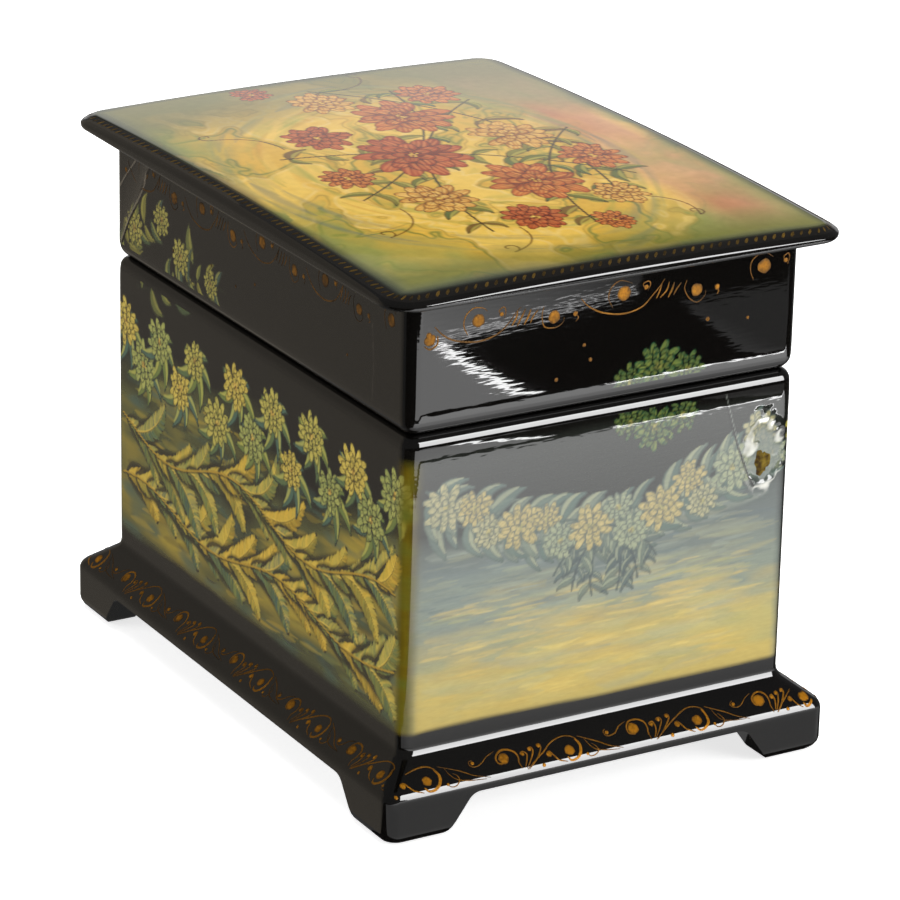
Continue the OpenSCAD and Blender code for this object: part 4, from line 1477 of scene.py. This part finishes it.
# %% Cards that only reflections see
def card(name, faces, axis, start, end, low, high, tint="#ffffff"):
    """Sheets given by their corners in metres, glowing from low to high between two places on an axis."""
    material, tree = new_material(name + "_glow")
    split = add(tree, "ShaderNodeSeparateXYZ", {"Vector": add(tree, "ShaderNodeTexCoord").outputs["Object"]})
    ramp = add(tree, "ShaderNodeMapRange", {"Value": split.outputs[axis]}, From_Min=start, From_Max=end,
               To_Min=low, To_Max=high)
    glow = add(tree, "ShaderNodeEmission", {"Strength": ramp}, Color=linear(tint))
    add(tree, "ShaderNodeOutputMaterial", {"Surface": glow})
    mesh = bpy.data.meshes.new(name)
    counts = np.cumsum([0] + [len(f) for f in faces])
    mesh.from_pydata(sum(faces, []), [], [tuple(range(a, b)) for a, b in zip(counts, counts[1:])])
    piece = bpy.data.objects.new(name, mesh)
    bpy.context.scene.collection.objects.link(piece)
    mesh.materials.append(material)
    piece.visible_camera = piece.visible_diffuse = piece.visible_shadow = piece.visible_transmission = False
    print(name, len(faces), "faces")


def flat(*corners, z=0.001):
    return [(x, y, z) for x, y in corners]


def upright(x0, y0, x1, y1, z0, z1):
    return [(x0, y0, z0), (x1, y1, z0), (x1, y1, z1), (x0, y0, z1)]


# The paper in front of the end: a dark gap in it leaves most of the lid's end black.
card("paper_card", [flat((0.072, -0.09), (0.243, -0.09), (0.243, 0.22), (0.072, 0.22))],
     "X", 0.085, 0.235, 0.7, 3.8)
card("far_paper", [flat((0.257, -0.09), (0.36, -0.09), (0.36, 0.20), (0.326, 0.175),
                        (0.3125, 0.106), (0.257, 0.106)),
                   flat((0.257, 0.172), (0.315, 0.182), (0.315, 0.25), (0.257, 0.25))],
     "Y", 0.10, 0.185, 2.8, 0.35)
card("bright_edges", [flat((0.257, 0.1015), (0.3125, 0.103), (0.3125, 0.106), (0.257, 0.106), z=0.002),
                      flat((0.240, 0.115), (0.243, 0.115), (0.243, 0.21), (0.2395, 0.21), z=0.002)],
     "Y", 0.05, 0.2, 20, 26)
card("faint_edge", [flat((0.3125, 0.106), (0.3145, 0.106), (0.328, 0.175), (0.326, 0.175), z=0.002)],
     "Y", 0.1, 0.18, 9, 7)
card("dark_table", [flat((0.05, -0.5), (0.9, -0.5), (0.9, 0.9), (0.05, 0.9), z=-0.01)],
     "X", 0.05, 0.9, 0.01, 0.03)
# A tall card to the right: the white lines along the mouldings.
card("tall_card", [upright(0.72, 0.28, 0.72, 0.63, 0.0, 0.67)], "Z", 0.0, 0.67, 16, 20)
# The dim room to the left: a warm grey haze on the front.
card("left_card", [upright(-1.10, 0.05, -0.45, -1.05, -0.6, 0.8)], "Z", -0.6, 0.8, 0.29, 0.32, "#fff3e0")
# A pale wall behind: the whitish veil over the far side of the lid.
card("back_card", [upright(-1.25, 0.15, -0.55, 1.15, 0.1, 0.62)], "Z", 0.36, 0.58, 0.85, 0.0)


# %% Lights
def softbox(name, at, aim, size, watts):
    light = bpy.data.lights.new(name, "AREA")
    light.size, light.energy = size, watts
    lamp = bpy.data.objects.new(name, light)
    bpy.context.scene.collection.objects.link(lamp)
    lamp.location = at
    lamp.rotation_euler = (Vector(aim) - Vector(at)).to_track_quat("-Z", "Y").to_euler()
    lamp.visible_glossy = False


softbox("end_softbox", (0.70, 0.40, 0.30), (0.05, 0, 0.06), 0.5, 4.6)
softbox("overhead_softbox", (-0.1, 0.1, 1.3), (0, 0, 0.05), 1.2, 18.0)
softbox("front_fill", (-0.25, -1.1, 0.55), (0, 0, 0.06), 0.8, 5.0)
world = bpy.context.scene.world or bpy.data.worlds.new("studio")
bpy.context.scene.world = world
world.use_nodes = True
world.node_tree.nodes.clear()
sky = add(world.node_tree, "ShaderNodeBackground", Color=(1, 1, 1, 1), Strength=0.14)
add(world.node_tree, "ShaderNodeOutputWorld", {"Surface": sky})
bpy.context.scene.view_settings.view_transform = "Standard"

# %% [markdown]
# The camera was fitted to the straight edges of the box in the photograph. Two angles and a distance
# place it around the middle of the box, a slight tilt turns the picture, and a small shift centres it.

# %% Camera
AIM, DISTANCE = Vector((0, 0, 0.054)), 0.96335
SHIFT_RIGHT, SHIFT_UP = 0.00172, -0.0015
azimuth, elevation, tilt = (math.radians(a) for a in (59.6, 20.84, 1.22))
level = math.cos(elevation)
back = Vector((math.sin(azimuth) * level, -math.cos(azimuth) * level, math.sin(elevation)))
right = (-back).cross(Vector((0, 0, 1))).normalized()
up = right.cross(-back)
turned_right = math.cos(tilt) * right + math.sin(tilt) * up
turned_up = -math.sin(tilt) * right + math.cos(tilt) * up
lens = bpy.data.cameras.new("photo_camera")
lens.lens, lens.sensor_width = 180, 36
camera = bpy.data.objects.new("photo_camera", lens)
bpy.context.scene.collection.objects.link(camera)
camera.matrix_world = Matrix((turned_right, turned_up, back)).transposed().to_4x4()
camera.location = AIM + turned_right * SHIFT_RIGHT + turned_up * SHIFT_UP + back * DISTANCE
bpy.context.scene.camera = camera
print("camera at", [round(c, 4) for c in camera.location])
